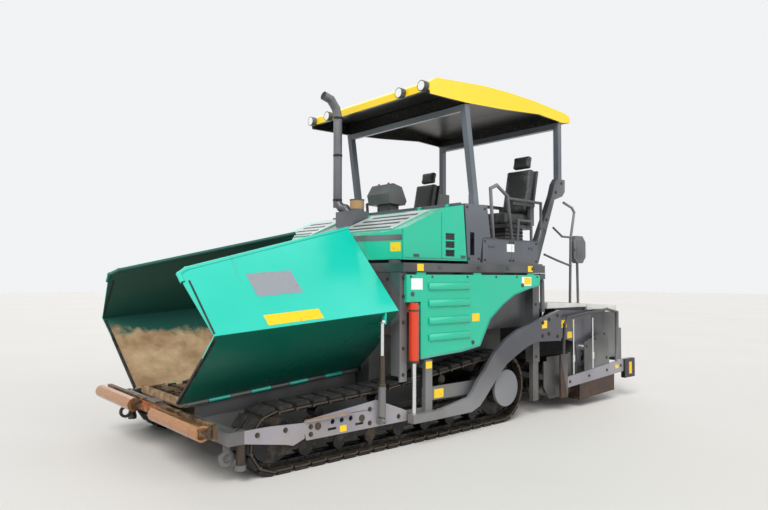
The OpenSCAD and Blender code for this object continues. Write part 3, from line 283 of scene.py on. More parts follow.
def touch(wheel_y, radius, side):
    reach = math.hypot(slack_y - wheel_y, slack_z - radius)
    return math.atan2(slack_z - radius, slack_y - wheel_y) + side * math.acos(radius / reach)


rear_angle, front_angle = touch(sprocket_y, sprocket_r, -1), touch(idler_y, idler_r, 1)
rear_run = math.sqrt((slack_y - sprocket_y) ** 2 + (slack_z - sprocket_r) ** 2 - sprocket_r ** 2)
front_run = math.sqrt((slack_y - idler_y) ** 2 + (slack_z - idler_r) ** 2 - idler_r ** 2)
ground = sprocket_y - idler_y
at_rear = ground + sprocket_r * (math.pi / 2 + rear_angle)
at_slack = at_rear + rear_run
at_front = at_slack + front_run
loop = at_front + idler_r * (1.5 * math.pi - front_angle)


def on_wheel(wheel_y, radius, a):
    return Vector((0, wheel_y + radius * math.cos(a), radius + radius * math.sin(a)))


def on_track(s):
    """Place on the shoes' outside and the outward direction, s metres along the loop."""
    s %= loop
    if s < ground:
        return Vector((0, idler_y + s, 0)), -math.pi / 2
    if s < at_rear:
        a = -math.pi / 2 + (s - ground) / sprocket_r
        return on_wheel(sprocket_y, sprocket_r, a), a
    if s < at_front:
        wheel_y, radius, a, part = ((sprocket_y, sprocket_r, rear_angle, (s - at_rear) / rear_run) if s < at_slack
                                    else (idler_y, idler_r, front_angle, (at_front - s) / front_run))
        return on_wheel(wheel_y, radius, a).lerp(Vector((0, slack_y, slack_z)), part), a
    a = front_angle + (s - at_front) / idler_r
    return on_wheel(idler_y, idler_r, a), a


def track_part(shape, name, material):
    for side, node_name in ((1, "track_left"), (-1, "track_right")):
        mesh = bmesh.new()
        for i in range(shoes):
            place, angle = on_track((i + 0.5) * loop / shoes - 0.011)
            before = len(mesh.verts)
            shape(mesh)
            mesh.verts.ensure_lookup_table()
            verts = mesh.verts[before:]
            turned(mesh, verts, angle - math.pi / 2, "X", place + Vector((side * track_mid, 0, 0)))
        extra(f"{name}_{node_name}", mesh, material)


def two_pads(mesh):
    for side in (-1, 1):
        block(mesh, (side * 0.077 - 0.066, -0.062, -0.030), (side * 0.077 + 0.066, 0.062, 0.0), 0.006)


def shoe_plate(mesh):
    block(mesh, (-track_half, -0.070, -0.044), (track_half, 0.070, -0.031), 0.003)
    block(mesh, (-track_half - 0.0005, -0.076, -0.056), (track_half + 0.0005, -0.060, -0.031), 0.003)


def link_bolts(mesh):
    for x in (-0.045, 0.045):
        block(mesh, (x - 0.017, -0.080, -0.082), (x + 0.017, 0.080, -0.045), 0.004)


rubber = pad_rubber()
track_part(two_pads, "rubber_pads", rubber)
track_part(shoe_plate, "shoe_plates", rubbed_steel)
track_part(link_bolts, "chain_links", track_steel)
for side_name in ("left", "right"):
    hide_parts(f"track_{side_name}")

# Running gear: cast rollers, idler and sprocket on a welded beam, with the final drive's pressed cover.
# Grease and dust cake it; the sprocket's teeth are rubbed bare. The cover is painted with the tow arms.
finish("running_gear", cast_steel("greasy_running_gear", "#232323", "#5b4d3e", 0.50, 0.72))
teeth = bmesh.new()
for k in range(15):
    angle = 2 * math.pi * k / 15
    tooth = block(teeth, (track_mid - 0.022, -0.030, 0.286), (track_mid + 0.022, 0.030, 0.330), 0.008)
    turned(teeth, tooth, angle, "X", (0, sprocket_y, sprocket_r))
extra("sprocket_teeth", teeth, rubbed_steel, both=True)


# Painted steel: two coats of machine enamel over primer, dulled by weather.
# Dust clings low down, rain draws streaks, and the coat is slightly uneven, as sprayed.
def stretched(tree, place, scale):
    return add(tree, "ShaderNodeMapping", {"Vector": place, "Scale": scale})["Vector"]


def enamel(name, paint, dust="#8d7d69", low=0.35, high=1.25, gloss=0.30, dirt=0.75, fade="#ffffff"):
    material, tree, place = blank(name)
    up = add(tree, "ShaderNodeSeparateXYZ", {"Vector": place})["Z"]
    near_ground = scaled(tree, up, low, high, dirt, 0.06)
    streaks = noise(tree, stretched(tree, place, (16.0, 16.0, 1.1)), 1.0, 4.0)
    runs = scaled(tree, streaks, 0.55, 0.85, to_high=0.14)
    soiled = maths(tree, "MULTIPLY", near_ground, grimy(tree, place, 3.2, 0.36, 0.74))
    soiled = maths(tree, "MAXIMUM", soiled, runs, use_clamp=True)
    faded = scaled(tree, noise(tree, place, 1.1, 2.0), 0.35, 0.7, to_high=0.16)
    tone = mix(tree, soiled, mix(tree, faded, paint, fade), dust)
    chips = add(tree, "ShaderNodeTexVoronoi", {"Vector": place, "Scale": 26.0, "Randomness": 1.0})["Distance"]
    chipped = scaled(tree, chips, 0.060, 0.045, to_high=0.7)
    tone = mix(tree, chipped, tone, "#5a5148")
    dull = scaled(tree, soiled, to_low=gloss, to_high=0.8)
    peel = bump(tree, 0.12, 0.002, noise(tree, place, 60.0, 2.0))
    coat = {"Coat Weight": 0.25, "Coat Roughness": 0.2}
    return surfaced(material, {"Base Color": tone, "Roughness": dull, "Normal": peel, **coat})


grey_enamel = enamel("slate_grey_enamel", "#292d31", "#6a5f51", 0.4, 1.2, 0.32, 0.4)
pale_enamel = enamel("silver_grey_enamel", "#7b7883", "#8d7656", 0.2, 0.55, 0.34, 0.6)
green_enamel = enamel("turquoise_enamel", "#04b893", "#6f7a68", 0.45, 1.0, 0.2, 0.4, "#10dcbc")
dark_enamel = enamel("charcoal_enamel", "#16181a", "#54493d", 0.25, 0.9, 0.4, 0.35)
yellow_enamel = enamel("signal_yellow_enamel", "#fbd500", "#9b8b55", 0.0, 0.2, 0.28, 0.3, "#ffe41c")
white_enamel = enamel("white_deck_enamel", "#d9d9d5", "#8f8370", 0.9, 1.4, 0.4)
tube_enamel = enamel("rail_grey_enamel", "#33363b", "#857a6c", 0.8, 1.9, 0.32)
red_enamel = enamel("orange_red_enamel", "#cf3208", "#6a3a2a", 0.6, 0.9, 0.3, 0.4, "#e8562c")


def label_film(name, colour):
    # blank printed film on the enamel, a little raised and glossier than the paint
    material, tree, place = blank(name)
    worn = grimy(tree, place, 30.0, 0.58, 0.8)
    tone = mix(tree, worn, colour, "#8d7d69")
    return surfaced(material, {"Base Color": tone, "Roughness": 0.32})


yellow_film = label_film("yellow_label_film", "#f5cc14")
white_film = label_film("white_label_film", "#eef0ee")
black_film = label_film("black_frame_film", "#1c1c1c")
label_thickness = 0.0012


def side_labels(name, places, x, film, body="chassis"):
    """Blank labels on upright faces that look along X: rows of y, z, length, height."""
    mesh = bmesh.new()
    for y, z, length, height in places:
        block(mesh, (x, y, z), (x + math.copysign(label_thickness, x), y + length, z + height))
    return extra(name, mesh, film, body)


def label_pair(name, places, x, film):
    side_labels(name, places, x, film)
    side_labels(name + "_right", places, -x, film)


upward, forward, rearward = (0, 0, 1), (0, -1, 0), (0, 1, 0)


def bolts(mesh, places, radius=0.011, height=0.010, axis=(1, 0, 0)):
    """Hexagon heads standing on a face, with a washer under each."""
    axis = Vector(axis)
    for place in places:
        place = Vector(place)
        rod(mesh, place, place + axis * 0.003, radius * 1.5, 14)
        rod(mesh, place + axis * 0.0025, place + axis * height, radius, 6)


# Main frame: cut and welded plate with the belly plate, bulkhead and tunnel walls.
# It carries all the rest; only its edges show between the tracks and through the tunnel.
for node_name in ("main_frame", "front_beam"):
    finish(node_name, dark_enamel)
finish("engine_block", cast_steel("oily_engine_iron", "#2b2b2b", "#55504a"))

guide_marks = bmesh.new()
bolts(guide_marks, [(1.150, -2.630, 0.395), (1.150, -2.695, 0.395), (1.125, -2.663, 0.395)], 0.012, 0.012, axis=upward)
bolts(guide_marks, [(x, -2.7905, z) for x in (0.25, 0.45, 0.65, 0.85) for z in (0.325, 0.375)], 0.012, axis=forward)
rod(guide_marks, (1.150, -2.663, 0.11), (1.150, -2.663, 0.30), 0.034, 24)
for turn in range(8):
    rod(guide_marks, (1.150, -2.663, 0.13 + 0.02 * turn), (1.150, -2.663, 0.138 + 0.02 * turn), 0.038, 24)
extra("front_beam_bolts_and_spindles", guide_marks, rubbed_steel, both=True)

# Hopper floor and conveyors: bare plate polished and rusted by hot asphalt, with cast slats on two chains.
# The slats stand across each belt every 145 mm, with a chain link near either end.
def asphalt_worn(name, bare, rust):
    material, tree, place = blank(name)
    rusty = grimy(tree, stretched(tree, place, (5.0, 1.6, 5.0)), 2.0, 0.38, 0.66)
    tarred = grimy(tree, place, 2.6, 0.55, 0.72)
    tone = mix(tree, tarred, mix(tree, rusty, bare, rust), "#1d1a18")
    grit = bump(tree, 0.4, 0.003, noise(tree, place, 120.0, 4.0))
    dull = scaled(tree, rusty, to_low=0.38, to_high=0.85)
    return surfaced(material, {"Base Color": tone, "Roughness": dull, "Metallic": 0.35, "Normal": grit})


hopper_steel = asphalt_worn("asphalt_worn_plate", "#b29a78", "#7b5a38")
finish("hopper_floor", hopper_steel)
finish_part("hopper_floor", dark_enamel, lambda p, n: abs(p.x) > 0.405 and abs(n.x) > 0.7 or n.z < -0.3)
finish("conveyors", asphalt_worn("conveyor_belt_plate", "#8c7758", "#5b432c"))
rise = math.radians(4.0)
slats = bmesh.new()
for i in range(12):
    s = 0.14 + 0.145 * i
    y, z = -2.860 + s * math.cos(rise), 0.490 + s * math.sin(rise) + 0.0145
    for side in (-1, 1):
        low_x, high_x = sorted((side * 0.045, side * 0.380))
        bar = block(slats, (low_x, -0.014, 0), (high_x, 0.014, 0.018), 0.004)
        bmesh.ops.translate(slats, verts=bar, vec=(0, y, z))
        for x in (0.060, 0.365):
            link = block(slats, (side * x - 0.012, -0.040, 0), (side * x + 0.012, 0.040, 0.024), 0.004)
            bmesh.ops.translate(slats, verts=link, vec=(0, y, z))
extra("conveyor_slats", slats, rubbed_steel)

# Side guards: pressed plate along the tracks, silver-grey with a tan ledge of dried mud.
# Seven bolts hold each guard, and a blank yellow label sits in the middle.
finish("side_guards", pale_enamel)
guards = bmesh.new()
guard_bolts = ((-2.06, 0.34), (-2.06, 0.28), (-1.44, 0.28), (-1.44, 0.40), (-2.55, 0.35), (-2.30, 0.35), (-1.10, 0.29))
bolts(guards, [(1.198, y, z) for y, z in guard_bolts], 0.014, 0.012)
for y in (-1.99, -1.53):
    rod(guards, (1.1975, y, 0.335), (1.204, y, 0.335), 0.030, 24)
extra("side_guard_bolts", guards, rubbed_steel, both=True)
ledge = blocks(((1.186, -2.105, 0.396), (1.224, -1.660, 0.402), 0.002),
               ((1.186, -1.640, 0.392), (1.198, -1.380, 0.400), 0.002))
extra("mud_on_the_ledges", ledge, cast_steel("dried_mud", "#b08a5c", "#7a6247", metal=0.0), both=True)
label_pair("side_guard_label", [(-1.765, 0.252, 0.070, 0.052)], 1.198, yellow_film)

# Body shell and deck rails: folded sheet steel over the engine bay, slate grey.
# The panels are bolted at their edges, with dark latches and small blank yellow labels along the rail.
finish("body_shell", grey_enamel)
finish("deck_rails", grey_enamel)
rail_x, box_x = 1.234, 1.143
shell_bolts = bmesh.new()
bolts(shell_bolts, [(1.200, -1.045, z) for z in (0.66, 0.90, 1.14, 1.38, 1.55)], 0.012)
bolts(shell_bolts, [(1.180, 1.020, z) for z in (0.66, 0.95, 1.25, 1.52)], 0.012)
bolts(shell_bolts, [(x, -1.068, z) for x in (0.30, 0.70, 1.0) for z in (1.24, 1.54)], 0.012, axis=forward)
extra("shell_bolts", shell_bolts, rubbed_steel, both=True)
latches = bmesh.new()
for y in (-0.62, -0.05, 0.42, 0.86):
    block(latches, (rail_x, y, 1.632), (1.2385, y + 0.055, 1.668), 0.002)
    rod(latches, (1.2380, y + 0.0275, 1.650), (1.2410, y + 0.0275, 1.650), 0.012, 16)
block(latches, (rail_x, -1.050, 1.6065), (1.236, 1.110, 1.612))
extra("deck_rail_latches", latches, dark_enamel, both=True)
label_pair("deck_rail_labels", [(y, 1.615, 0.085, 0.066) for y in (-0.90, 0.80)], rail_x, yellow_film)
seams = bmesh.new()
for z in (1.176, 1.410):
    block(seams, (-1.0795, -1.0685, z), (1.0795, -1.0665, z + 0.006))
for x in (-0.54, 0.0, 0.54):
    block(seams, (x - 0.003, -1.0685, 1.19), (x + 0.003, -1.0665, 1.60))
extra("bulkhead_seams", seams, black_film)

# Engine hood: pressed sheet, sprayed turquoise, with a pale lid that is a painted reflection and louvres that are
# black strips of painted shade.
# Black boxes with slanting fins stand in the side vents, the boxes painted shade for the dark openings; a grey strip
# runs round the front.
finish("hood", green_enamel)
finish("nose", green_enamel)
finish_part("nose", grey_enamel, lambda p, n: p.z < 1.735)
# Painted shade: the black boxes stand for the shade inside the side vents.
vents = bmesh.new()
for z in (1.764, 1.850, 1.930):
    block(vents, (1.1225, -0.424, z - 0.004), (1.1275, -0.286, z + 0.070))
extra("vent_boxes", vents, black_film, "hood", both=True)
fins = bmesh.new()
for z in (1.764, 1.850, 1.930):
    for k in range(4):
        fin = block(fins, (-0.006, -0.417, -0.0015), (0.008, -0.293, 0.0015))
        turned(fins, fin, math.radians(35), "Y", (1.135, 0, z + 0.012 + 0.016 * k))
extra("vent_fins", fins, dark_enamel, "hood", both=True)
# Painted reflection: the sloping lid panels are painted pale where the hood's slope reflects the bright sky.
lid_enamel = enamel("painted_reflection_lid", "#aebfba", "#8b9a92", 0.0, 0.1, 0.34, 0.2)
lid_y, lid_z, top_y, top_z = -1.095, 1.968, -0.450, 2.244
slope = math.atan2(top_z - lid_z, top_y - lid_y)


def on_hood(y, out):
    """Point on the sloping lid at y, raised by out along its normal."""
    z = lid_z + (y - lid_y) * math.tan(slope)
    return Vector((0, y - out * math.sin(slope), z + out * math.cos(slope)))


def lid_panel(mesh, x0, x1, y0, y1, thick, round_by=0.004):
    length = (y1 - y0) / math.cos(slope)
    verts = block(mesh, (x0, 0, 0), (x1, length, thick), round_by)
    turned(mesh, verts, slope, "X", on_hood(y0, 0.0))


lid = bmesh.new()
lid_panel(lid, 0.10, 0.98, -0.985, -0.500, 0.012)
lid_panel(lid, -0.98, -0.40, -0.985, -0.500, 0.012)
extra("hood_lid_panels", lid, lid_enamel, "hood")
# Painted shade: the louvres are black strips standing for the shade inside the slots.
louvres = bmesh.new()
for k in range(4):
    y = -0.955 + 0.110 * k
    lid_panel(louvres, 0.16 + 0.03 * k, 0.90 + 0.012 * k, y, y + 0.032, 0.0165, 0.002)
    lid_panel(louvres, -0.90 - 0.012 * k, -0.46 - 0.02 * k, y, y + 0.032, 0.0165, 0.002)
extra("hood_louvres", louvres, black_film, "hood")
strip = bmesh.new()
for x0, x1 in ((-0.722, -0.372), (0.067, 0.722)):
    plate(strip, [(-1.0975, 1.908), (-1.0975, 1.962), (-1.094, 1.962), (-1.094, 1.908)], x0, x1)
bow, corner = math.atan2(0.111, 0.423), (0.720, -1.095, 0)
for side in (1, -1):
    bent = block(strip, (0, -0.0030, 1.905), (0.415, 0.0005, 1.960))
    turned(strip, bent, bow, "Z", corner)
    bmesh.ops.scale(strip, verts=bent, vec=(side, 1, 1))
extra("hood_front_strip", strip, grey_enamel)
nose_label = blocks(((0.285, -0.0015, 1.800), (0.400, 0.0005, 1.885)))
turned(nose_label, nose_label.verts, bow, "Z", corner)
extra("nose_labels", nose_label, yellow_film, both=True)
hood_seams = blocks(((1.1425, -0.975, 1.738), (1.1440, -0.130, 1.742)),
                    ((1.1425, -0.480, 1.742), (1.1440, -0.476, 2.200)))
extra("hood_side_seams", hood_seams, black_film, "hood", both=True)
handles = bmesh.new()
for y in (-0.86, -0.20):
    block(handles, (box_x, y, 1.752), (1.150, y + 0.070, 1.778), 0.003)
extra("hood_handles", handles, dark_enamel, "hood", both=True)

# Exhaust: rolled steel silencer and stack, blued and sooty, with a tan plastic pre-cleaner on the intake.
# A dark disc shows as the stack's mouth; clamps hold the bends.
finish("exhaust", enamel("sooty_exhaust_enamel", "#4b4d52", "#2c2a29", 0.0, 0.1, 0.4, 0.3))
soot = cast_steel("stack_soot", "#121212", "#26221f", metal=0.2)
stack_x, stack_y = -0.300, -0.688
clamps = bmesh.new()
for z in (2.42, 2.93, 3.36):
    rod(clamps, (stack_x, stack_y, z), (stack_x, stack_y, z + 0.022), 0.0535, 28)
    block(clamps, (-0.262, -0.740, z), (-0.246, -0.716, z + 0.022), 0.003)
extra("exhaust_clamps", clamps, soot)
# The dark disc is the pipe's sooty inside with painted shade in the opening.
mouth = bmesh.new()
rod(mouth, (stack_x, -0.893, 3.600), (stack_x, -0.8945, 3.6004), 0.046, 28)
extra("stack_mouth", mouth, soot)
cleaner_x, cleaner_y = -0.070, -0.585
cleaner = bmesh.new()
rod(cleaner, (cleaner_x, cleaner_y, 2.319), (cleaner_x, cleaner_y, 2.412), 0.0765, 36, 0.0775)
for k in range(24):
    a = 2 * math.pi * k / 24
    fin = block(cleaner, (0.070, -0.003, 2.330), (0.0805, 0.003, 2.400))
    turned(cleaner, fin, a, "Z", (cleaner_x, cleaner_y, 0))
tan_plastic = label_film("tan_moulded_cleaner", "#b08e62")
extra("intake_pre_cleaner", cleaner, tan_plastic)

# Platform: folded sheet boxes and columns on the deck, slate grey, with a grey tread plate between the seats.
# A blank white label sits on each side box, between trim strips and bolts.
finish("platform", enamel("platform_grey_enamel", "#464b54", "#7c7468", 1.5, 2.0, 0.34, 0.3, "#9aa0aa"))


def studs(columns, rows, half_length, height, slope, start, step):
    """Chequered tread: low bars across each other, on a sheet that slopes along y."""
    mesh = bmesh.new()
    for i in range(columns):
        for j in range(rows):
            stud = block(mesh, (-half_length, -0.003, 0), (half_length, 0.003, height))
            turned(mesh, stud, math.radians(45 if (i + j) % 2 else -45), "Z", (0, 0, 0))
            turned(mesh, stud, slope, "X", (start[0] + step[0] * i, start[1] + step[1] * j, start[2] + step[2] * j))
    return mesh


tread = studs(22, 13, 0.014, 0.003, 0.0, (-0.50, 0.34, 1.710), (0.046, 0.060, 0.0))
extra("deck_tread_studs", tread, grey_enamel)
label_pair("side_box_label", [(0.545, 1.835, 0.130, 0.085)], box_x, white_film)
box_trim = blocks(((1.142, 0.150, 1.962), (1.146, 1.112, 1.9725), 0.001),
                  ((1.142, 0.628, 1.715), (1.1445, 0.632, 1.960)),
                  ((box_x, 0.240, 1.875), (1.151, 0.330, 1.895), 0.003),
                  ((box_x, 0.930, 1.875), (1.151, 1.020, 1.895), 0.003))
extra("side_box_trim", box_trim, dark_enamel, both=True)
box_bolts = bmesh.new()
bolts(box_bolts, [(box_x, y, z) for y in (0.18, 0.60, 0.66, 1.08) for z in (1.740, 1.940)], 0.009)
bolts(box_bolts, [(box_x, y, z) for y, z in ((-0.10, 2.28), (0.18, 2.28), (-0.07, 1.75), (0.08, 1.75))], 0.009)
bolts(box_bolts, [(1.020, y, z) for y, z in ((1.20, 1.78), (1.46, 2.25), (1.66, 2.60), (1.78, 2.72))], 0.013)
extra("platform_bolts", box_bolts, rubbed_steel, both=True)

# Handrails: bent round tube, enamelled grey, welded to the side boxes.
# Flanged feet stand on the boxes.
finish("handrails", tube_enamel)
feet = bmesh.new()
for y in (0.415, 0.742, 0.840, 1.196):
    rod(feet, (1.060, y, 1.9715), (1.060, y, 1.981), 0.036, 24)
    bolts(feet, [(1.060 + dx, y, 1.981) for dx in (-0.027, 0.027)], 0.006, 0.006, axis=upward)
extra("rail_feet", feet, tube_enamel, both=True)

# Console: a moulded pod on a folded post, charcoal.
# Its dark screen is two blank panes; six small red buttons and two larger ones stand by it.
finish("console", enamel("console_moulding", "#3c4442", "#6d6a62", 0.0, 0.1, 0.5, 0.3))
screen = bmesh.new()
plate(screen, [(0.176, 2.652), (0.256, 2.486), (0.258, 2.487), (0.178, 2.653)], -0.520, -0.300)
plate(screen, [(0.176, 2.652), (0.256, 2.486), (0.2575, 2.4868), (0.1775, 2.6528)], -0.280, -0.200)
extra("console_screen", screen, label_film("screen_glass", "#101418"))
buttons = bmesh.new()
for i in range(6):
    x = -0.505 + 0.055 * i
    rod(buttons, (x, 0.110, 2.672), (x, 0.118, 2.6795), 0.013, 14)
for x in (-0.44, -0.26):
    rod(buttons, (x, 0.05, 2.683), (x, 0.045, 2.6842), 0.022, 18)
extra("console_buttons", buttons, label_film("button_caps", "#c8452e"))
post_trim = bmesh.new()
bolts(post_trim, [(x, 0.060, z) for x in (-0.455, -0.265) for z in (1.78, 2.38)], 0.008, axis=forward)
block(post_trim, (-0.460, 0.0575, 1.83), (-0.260, 0.0605, 2.32), 0.001)
extra("console_post_cover", post_trim, dark_enamel)

# Seats: moulded shells on rubber bellows, foam cushions in black synthetic leather with seams.
# Each cushion is crowned, pulls in between its corners and shows two sewn channels.
finish("seat_frames", enamel("seat_shell_moulding", "#1f2022", "#4c4843", 0.0, 0.1, 0.55, 0.3))


def seat_leather():
    # PVC-coated cloth with 3 mm grain, drawn 8 mm coarse so that it shows; soft sheen on the crowns
    material, tree, place = blank("black_synthetic_leather")
    worn = grimy(tree, place, 9.0, 0.55, 0.75)
    tone = mix(tree, worn, "#17181a", "#54544f")
    grain = add(tree, "ShaderNodeTexVoronoi", {"Vector": place, "Scale": 125.0})["Distance"]
    grain = bump(tree, 0.35, 0.002, grain)
    return surfaced(material, {"Base Color": tone, "Roughness": 0.46, "Normal": grain, "Sheen Weight": 0.2})


leather = seat_leather()


def apply_top(piece_object, modifier_name):
    bpy.context.view_layer.objects.active = piece_object
    with bpy.context.temp_override(object=piece_object, active_object=piece_object, selected_objects=[piece_object]):
        bpy.ops.object.modifier_apply(modifier=modifier_name)


def cushion(name, centre, size, lean, swell):
    """A stuffed pad: a block remeshed fine, blown up as cloth, capped, with seams pressed in after."""
    lies_flat = size[1] > size[2]
    thin = 2 if lies_flat else 1
    mesh = blocks(([-0.5 * d for d in size], [0.5 * d for d in size], 0.022))
    bmesh.ops.subdivide_edges(mesh, edges=mesh.edges[:], cuts=5, use_grid_fill=True)
    pad = piece(name, mesh, leather, "chassis", smooth=True)
    remesh = pad.modifiers.new("fine", "REMESH")
    remesh.mode, remesh.voxel_size = "VOXEL", 0.009
    apply_top(pad, "fine")
    start = [v.co.copy() for v in pad.data.vertices]
    cloth = pad.modifiers.new("cloth", "CLOTH")
    cloth.settings.use_pressure = True
    cloth.settings.uniform_pressure_force = 4.0
    cloth.settings.effector_weights.gravity = 0.0
    cloth.point_cache.frame_start, cloth.point_cache.frame_end = 1, 20
    for k in range(1, 21):
        bpy.context.scene.frame_set(k)
    apply_top(pad, "cloth")
    bpy.context.scene.frame_set(1)
    for v, was in zip(pad.data.vertices, start):
        moved = v.co - was
        if moved.length > swell:
            v.co = was + moved.normalized() * swell
    for v in pad.data.vertices:
        x, y = (v.co[i] / (0.5 * size[i]) for i in range(2))
        if lies_flat:
            v.co.y += 0.012 * (1 - abs(x)) * (abs(y) > 0.8) * (1 if y < 0 else -1)
        for seam in (-0.36, 0.36):
            if v.co[thin] > 0:
                v.co[thin] -= 0.010 * math.exp(-((x - seam) / 0.035) ** 2)
    pad.data.transform(Matrix.Translation(centre) @ Matrix.Rotation(lean, 4, "X"))
    return pad


seat_x, seat_lean = 0.804, math.radians(-12)
for side_name, side in sides:
    seat = Vector((side * seat_x, 0.920, 2.226))
    seat_pad = cushion(f"seat_pad_{side_name}", seat, (0.372, 0.450, 0.122), 0.0, 0.010)
    back = Matrix.Translation((side * seat_x, 1.150, 2.120)) @ Matrix.Rotation(seat_lean, 4, "X")
    cushion(f"back_pad_{side_name}", back @ Vector((0, -0.0485, 0.455)), (0.372, 0.088, 0.550), seat_lean, 0.010)
    cushion(f"head_pad_{side_name}", back @ Vector((0, -0.041, 0.830)), (0.232, 0.072, 0.150), seat_lean, 0.008)
    if side > 0:
        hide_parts("seat_cushions")
bellows = bmesh.new()
for k in range(9):
    z = 1.745 + 0.040 * k
    block(bellows, (0.648, 0.754, z), (0.960, 1.086, z + 0.022), 0.009)
extra("seat_bellows", bellows, rubber, both=True)

# Canopy arches: bent box and plate steel, slate blue-grey, bolted to the side boxes and brackets.
# Foot plates stand under the legs, with four bolts in front; a plate stiffens each front leg.
arch_enamel = enamel("slate_blue_enamel", "#4a525b", "#8a8378", 1.5, 2.0, 0.32, 0.3, "#b9c2cc")
finish("front_arch", arch_enamel)
finish("rear_arch", arch_enamel)
arch_feet = blocks(((0.940, 0.1475, 1.972), (1.030, 0.2425, 1.984), 0.002),
                   ((0.9495, 1.7145, 2.7695), (1.0205, 1.7855, 2.780), 0.001))
bolts(arch_feet, [(x, y, 1.984) for x in (0.9445, 1.0255) for y in (0.165, 0.225)], 0.006, axis=upward)
plate(arch_feet, [(0.158, 2.20), (0.158, 2.45), (0.140, 2.45), (0.140, 2.20)], 0.948, 1.022)
extra("arch_feet_and_gussets", arch_feet, arch_enamel, both=True)

# Roof: a moulded glass-fibre shell, signal yellow outside; its underside and inner faces are painted near black as
# shade.
# The lamps are round, with black housings and white lenses.
finish("roof", yellow_enamel)
# Painted shade: faces turned down, the inner rim faces and the faces where the arches meet the roof are painted near
# black.
finish_part("roof", label_film("roof_underside_painted_shade", "#141414"),
            lambda p, n: abs(p.x) < 1.038 and p.z < 3.612 and (n.z < -0.05 or abs(n.x) > 0.9 and abs(p.x) < 1.02)
            or abs(p.x) < 1.03 and 3.40 < p.z < 3.60 and (-0.01 < p.y < 0.07 or 1.70 < p.y < 1.80))
# Painted shade: a thin near-black sheet darkens the roof's front underside.
roof_shade_sheet = blocks(((-1.008, -0.440, 3.5325), (1.008, -0.02, 3.5365)))
extra("roof_front_shade_sheet", roof_shade_sheet, label_film("roof_front_painted_shade", "#17181a"))
finish("lamps", dark_enamel)
lenses = bmesh.new()
for x in (-0.980, -0.640, 0.640, 0.980):
    rod(lenses, (x, -0.6045, 3.480), (x, -0.6055, 3.480), 0.047, 28)
lens_glass = surfaced(blank("lamp_lens")[0], {"Base Color": linear("#f2f4f2"), "Roughness": 0.12, "Coat Weight": 0.6})
extra("lamp_lenses", lenses, lens_glass)

# Hopper wings: folded plate with a rolled rim, turquoise outside, worn bare and rusty inside.
# Asphalt has rubbed the lower panels to tan metal; the upper insides keep their paint, painted dark green as shade.
# Faces turned downwards outside are painted darker as shade too.
def wing_finish(side):
    material, tree, place = blank("turquoise_wing_enamel_" + ("left" if side > 0 else "right"))
    geometry = add(tree, "ShaderNodeNewGeometry", {})
    facing = add(tree, "ShaderNodeSeparateXYZ", {"Vector": geometry["Normal"]})
    inside = scaled(tree, maths(tree, "MULTIPLY", facing["X"], -float(side)), 0.30, 0.35)
    up = add(tree, "ShaderNodeSeparateXYZ", {"Vector": place})["Z"]
    patches = maths(tree, "MULTIPLY", noise(tree, place, 2.2, 8.0, 0.6), 0.9)
    edge = maths(tree, "ADD", up, patches)
    bare = scaled(tree, edge, 1.52, 1.42)
    tan = mix(tree, grimy(tree, place, 3.0, 0.35, 0.65), "#c3a882", "#8d6f4c")
    # Inside, the tan is bare worn metal; the dark green is the paint darkened as painted shade, because the upper
    # insides face downwards.
    dim = mix(tree, bare, "#0d4f45", tan)
    faded = scaled(tree, noise(tree, place, 0.9, 2.0), 0.35, 0.7, to_high=0.2)
    paint = mix(tree, faded, "#0cc4ab", "#62f0e4")
    runs = grimy(tree, stretched(tree, place, (3.0, 14.0, 1.0)), 1.0, 0.60, 0.85)
    paint = mix(tree, maths(tree, "MULTIPLY", runs, 0.35), paint, "#4c6a5c")
    # Painted shade: outside faces turned downwards are darkened towards deep green, as they lie in shade.
    under = scaled(tree, facing["Z"], -0.2, -0.6, to_high=0.9)
    paint = mix(tree, under, paint, "#04503c")
    tone = mix(tree, inside, paint, dim)
    dull = scaled(tree, inside, to_low=0.22, to_high=0.7)
    dents = bump(tree, 0.10, 0.01, noise(tree, place, 7.0, 3.0))
    coat = {"Coat Weight": 0.3, "Coat Roughness": 0.15}
    return surfaced(material, {"Base Color": tone, "Roughness": dull, "Normal": dents, **coat})


hinge_x, hinge_y, hinge_z = 0.450, -2.860, 0.490
crease_x, crease_h, lean = 0.818, 0.645, math.radians(45)
tilt_hinge = (Matrix.Translation((0, hinge_y, hinge_z)) @ Matrix.Rotation(rise, 4, "X")
              @ Matrix.Translation((hinge_x, 0, 0)))
lower_frame = tilt_hinge @ Matrix.Rotation(-math.atan2(crease_h, crease_x), 4, "Y")
upper_frame = tilt_hinge @ Matrix.Translation((crease_x, 0, crease_h)) @ Matrix.Rotation(lean - math.pi, 4, "Y")


def on_panel(mesh, low, high, panel, round_by=0.0):
    """A block on a wing's panel: u away from its hinge or crease, s along it, n out of it."""
    for v in block(mesh, low, high, round_by):
        v.co = panel @ v.co


def sided(name, mesh, material, body, side, smooth=False):
    """A piece built on the left, flipped over where side is -1, with the side in its name."""
    if side < 0:
        bmesh.ops.scale(mesh, verts=mesh.verts, vec=(-1, 1, 1))
    return extra(f"{name}_{'left' if side > 0 else 'right'}", mesh, material, body, smooth=smooth)


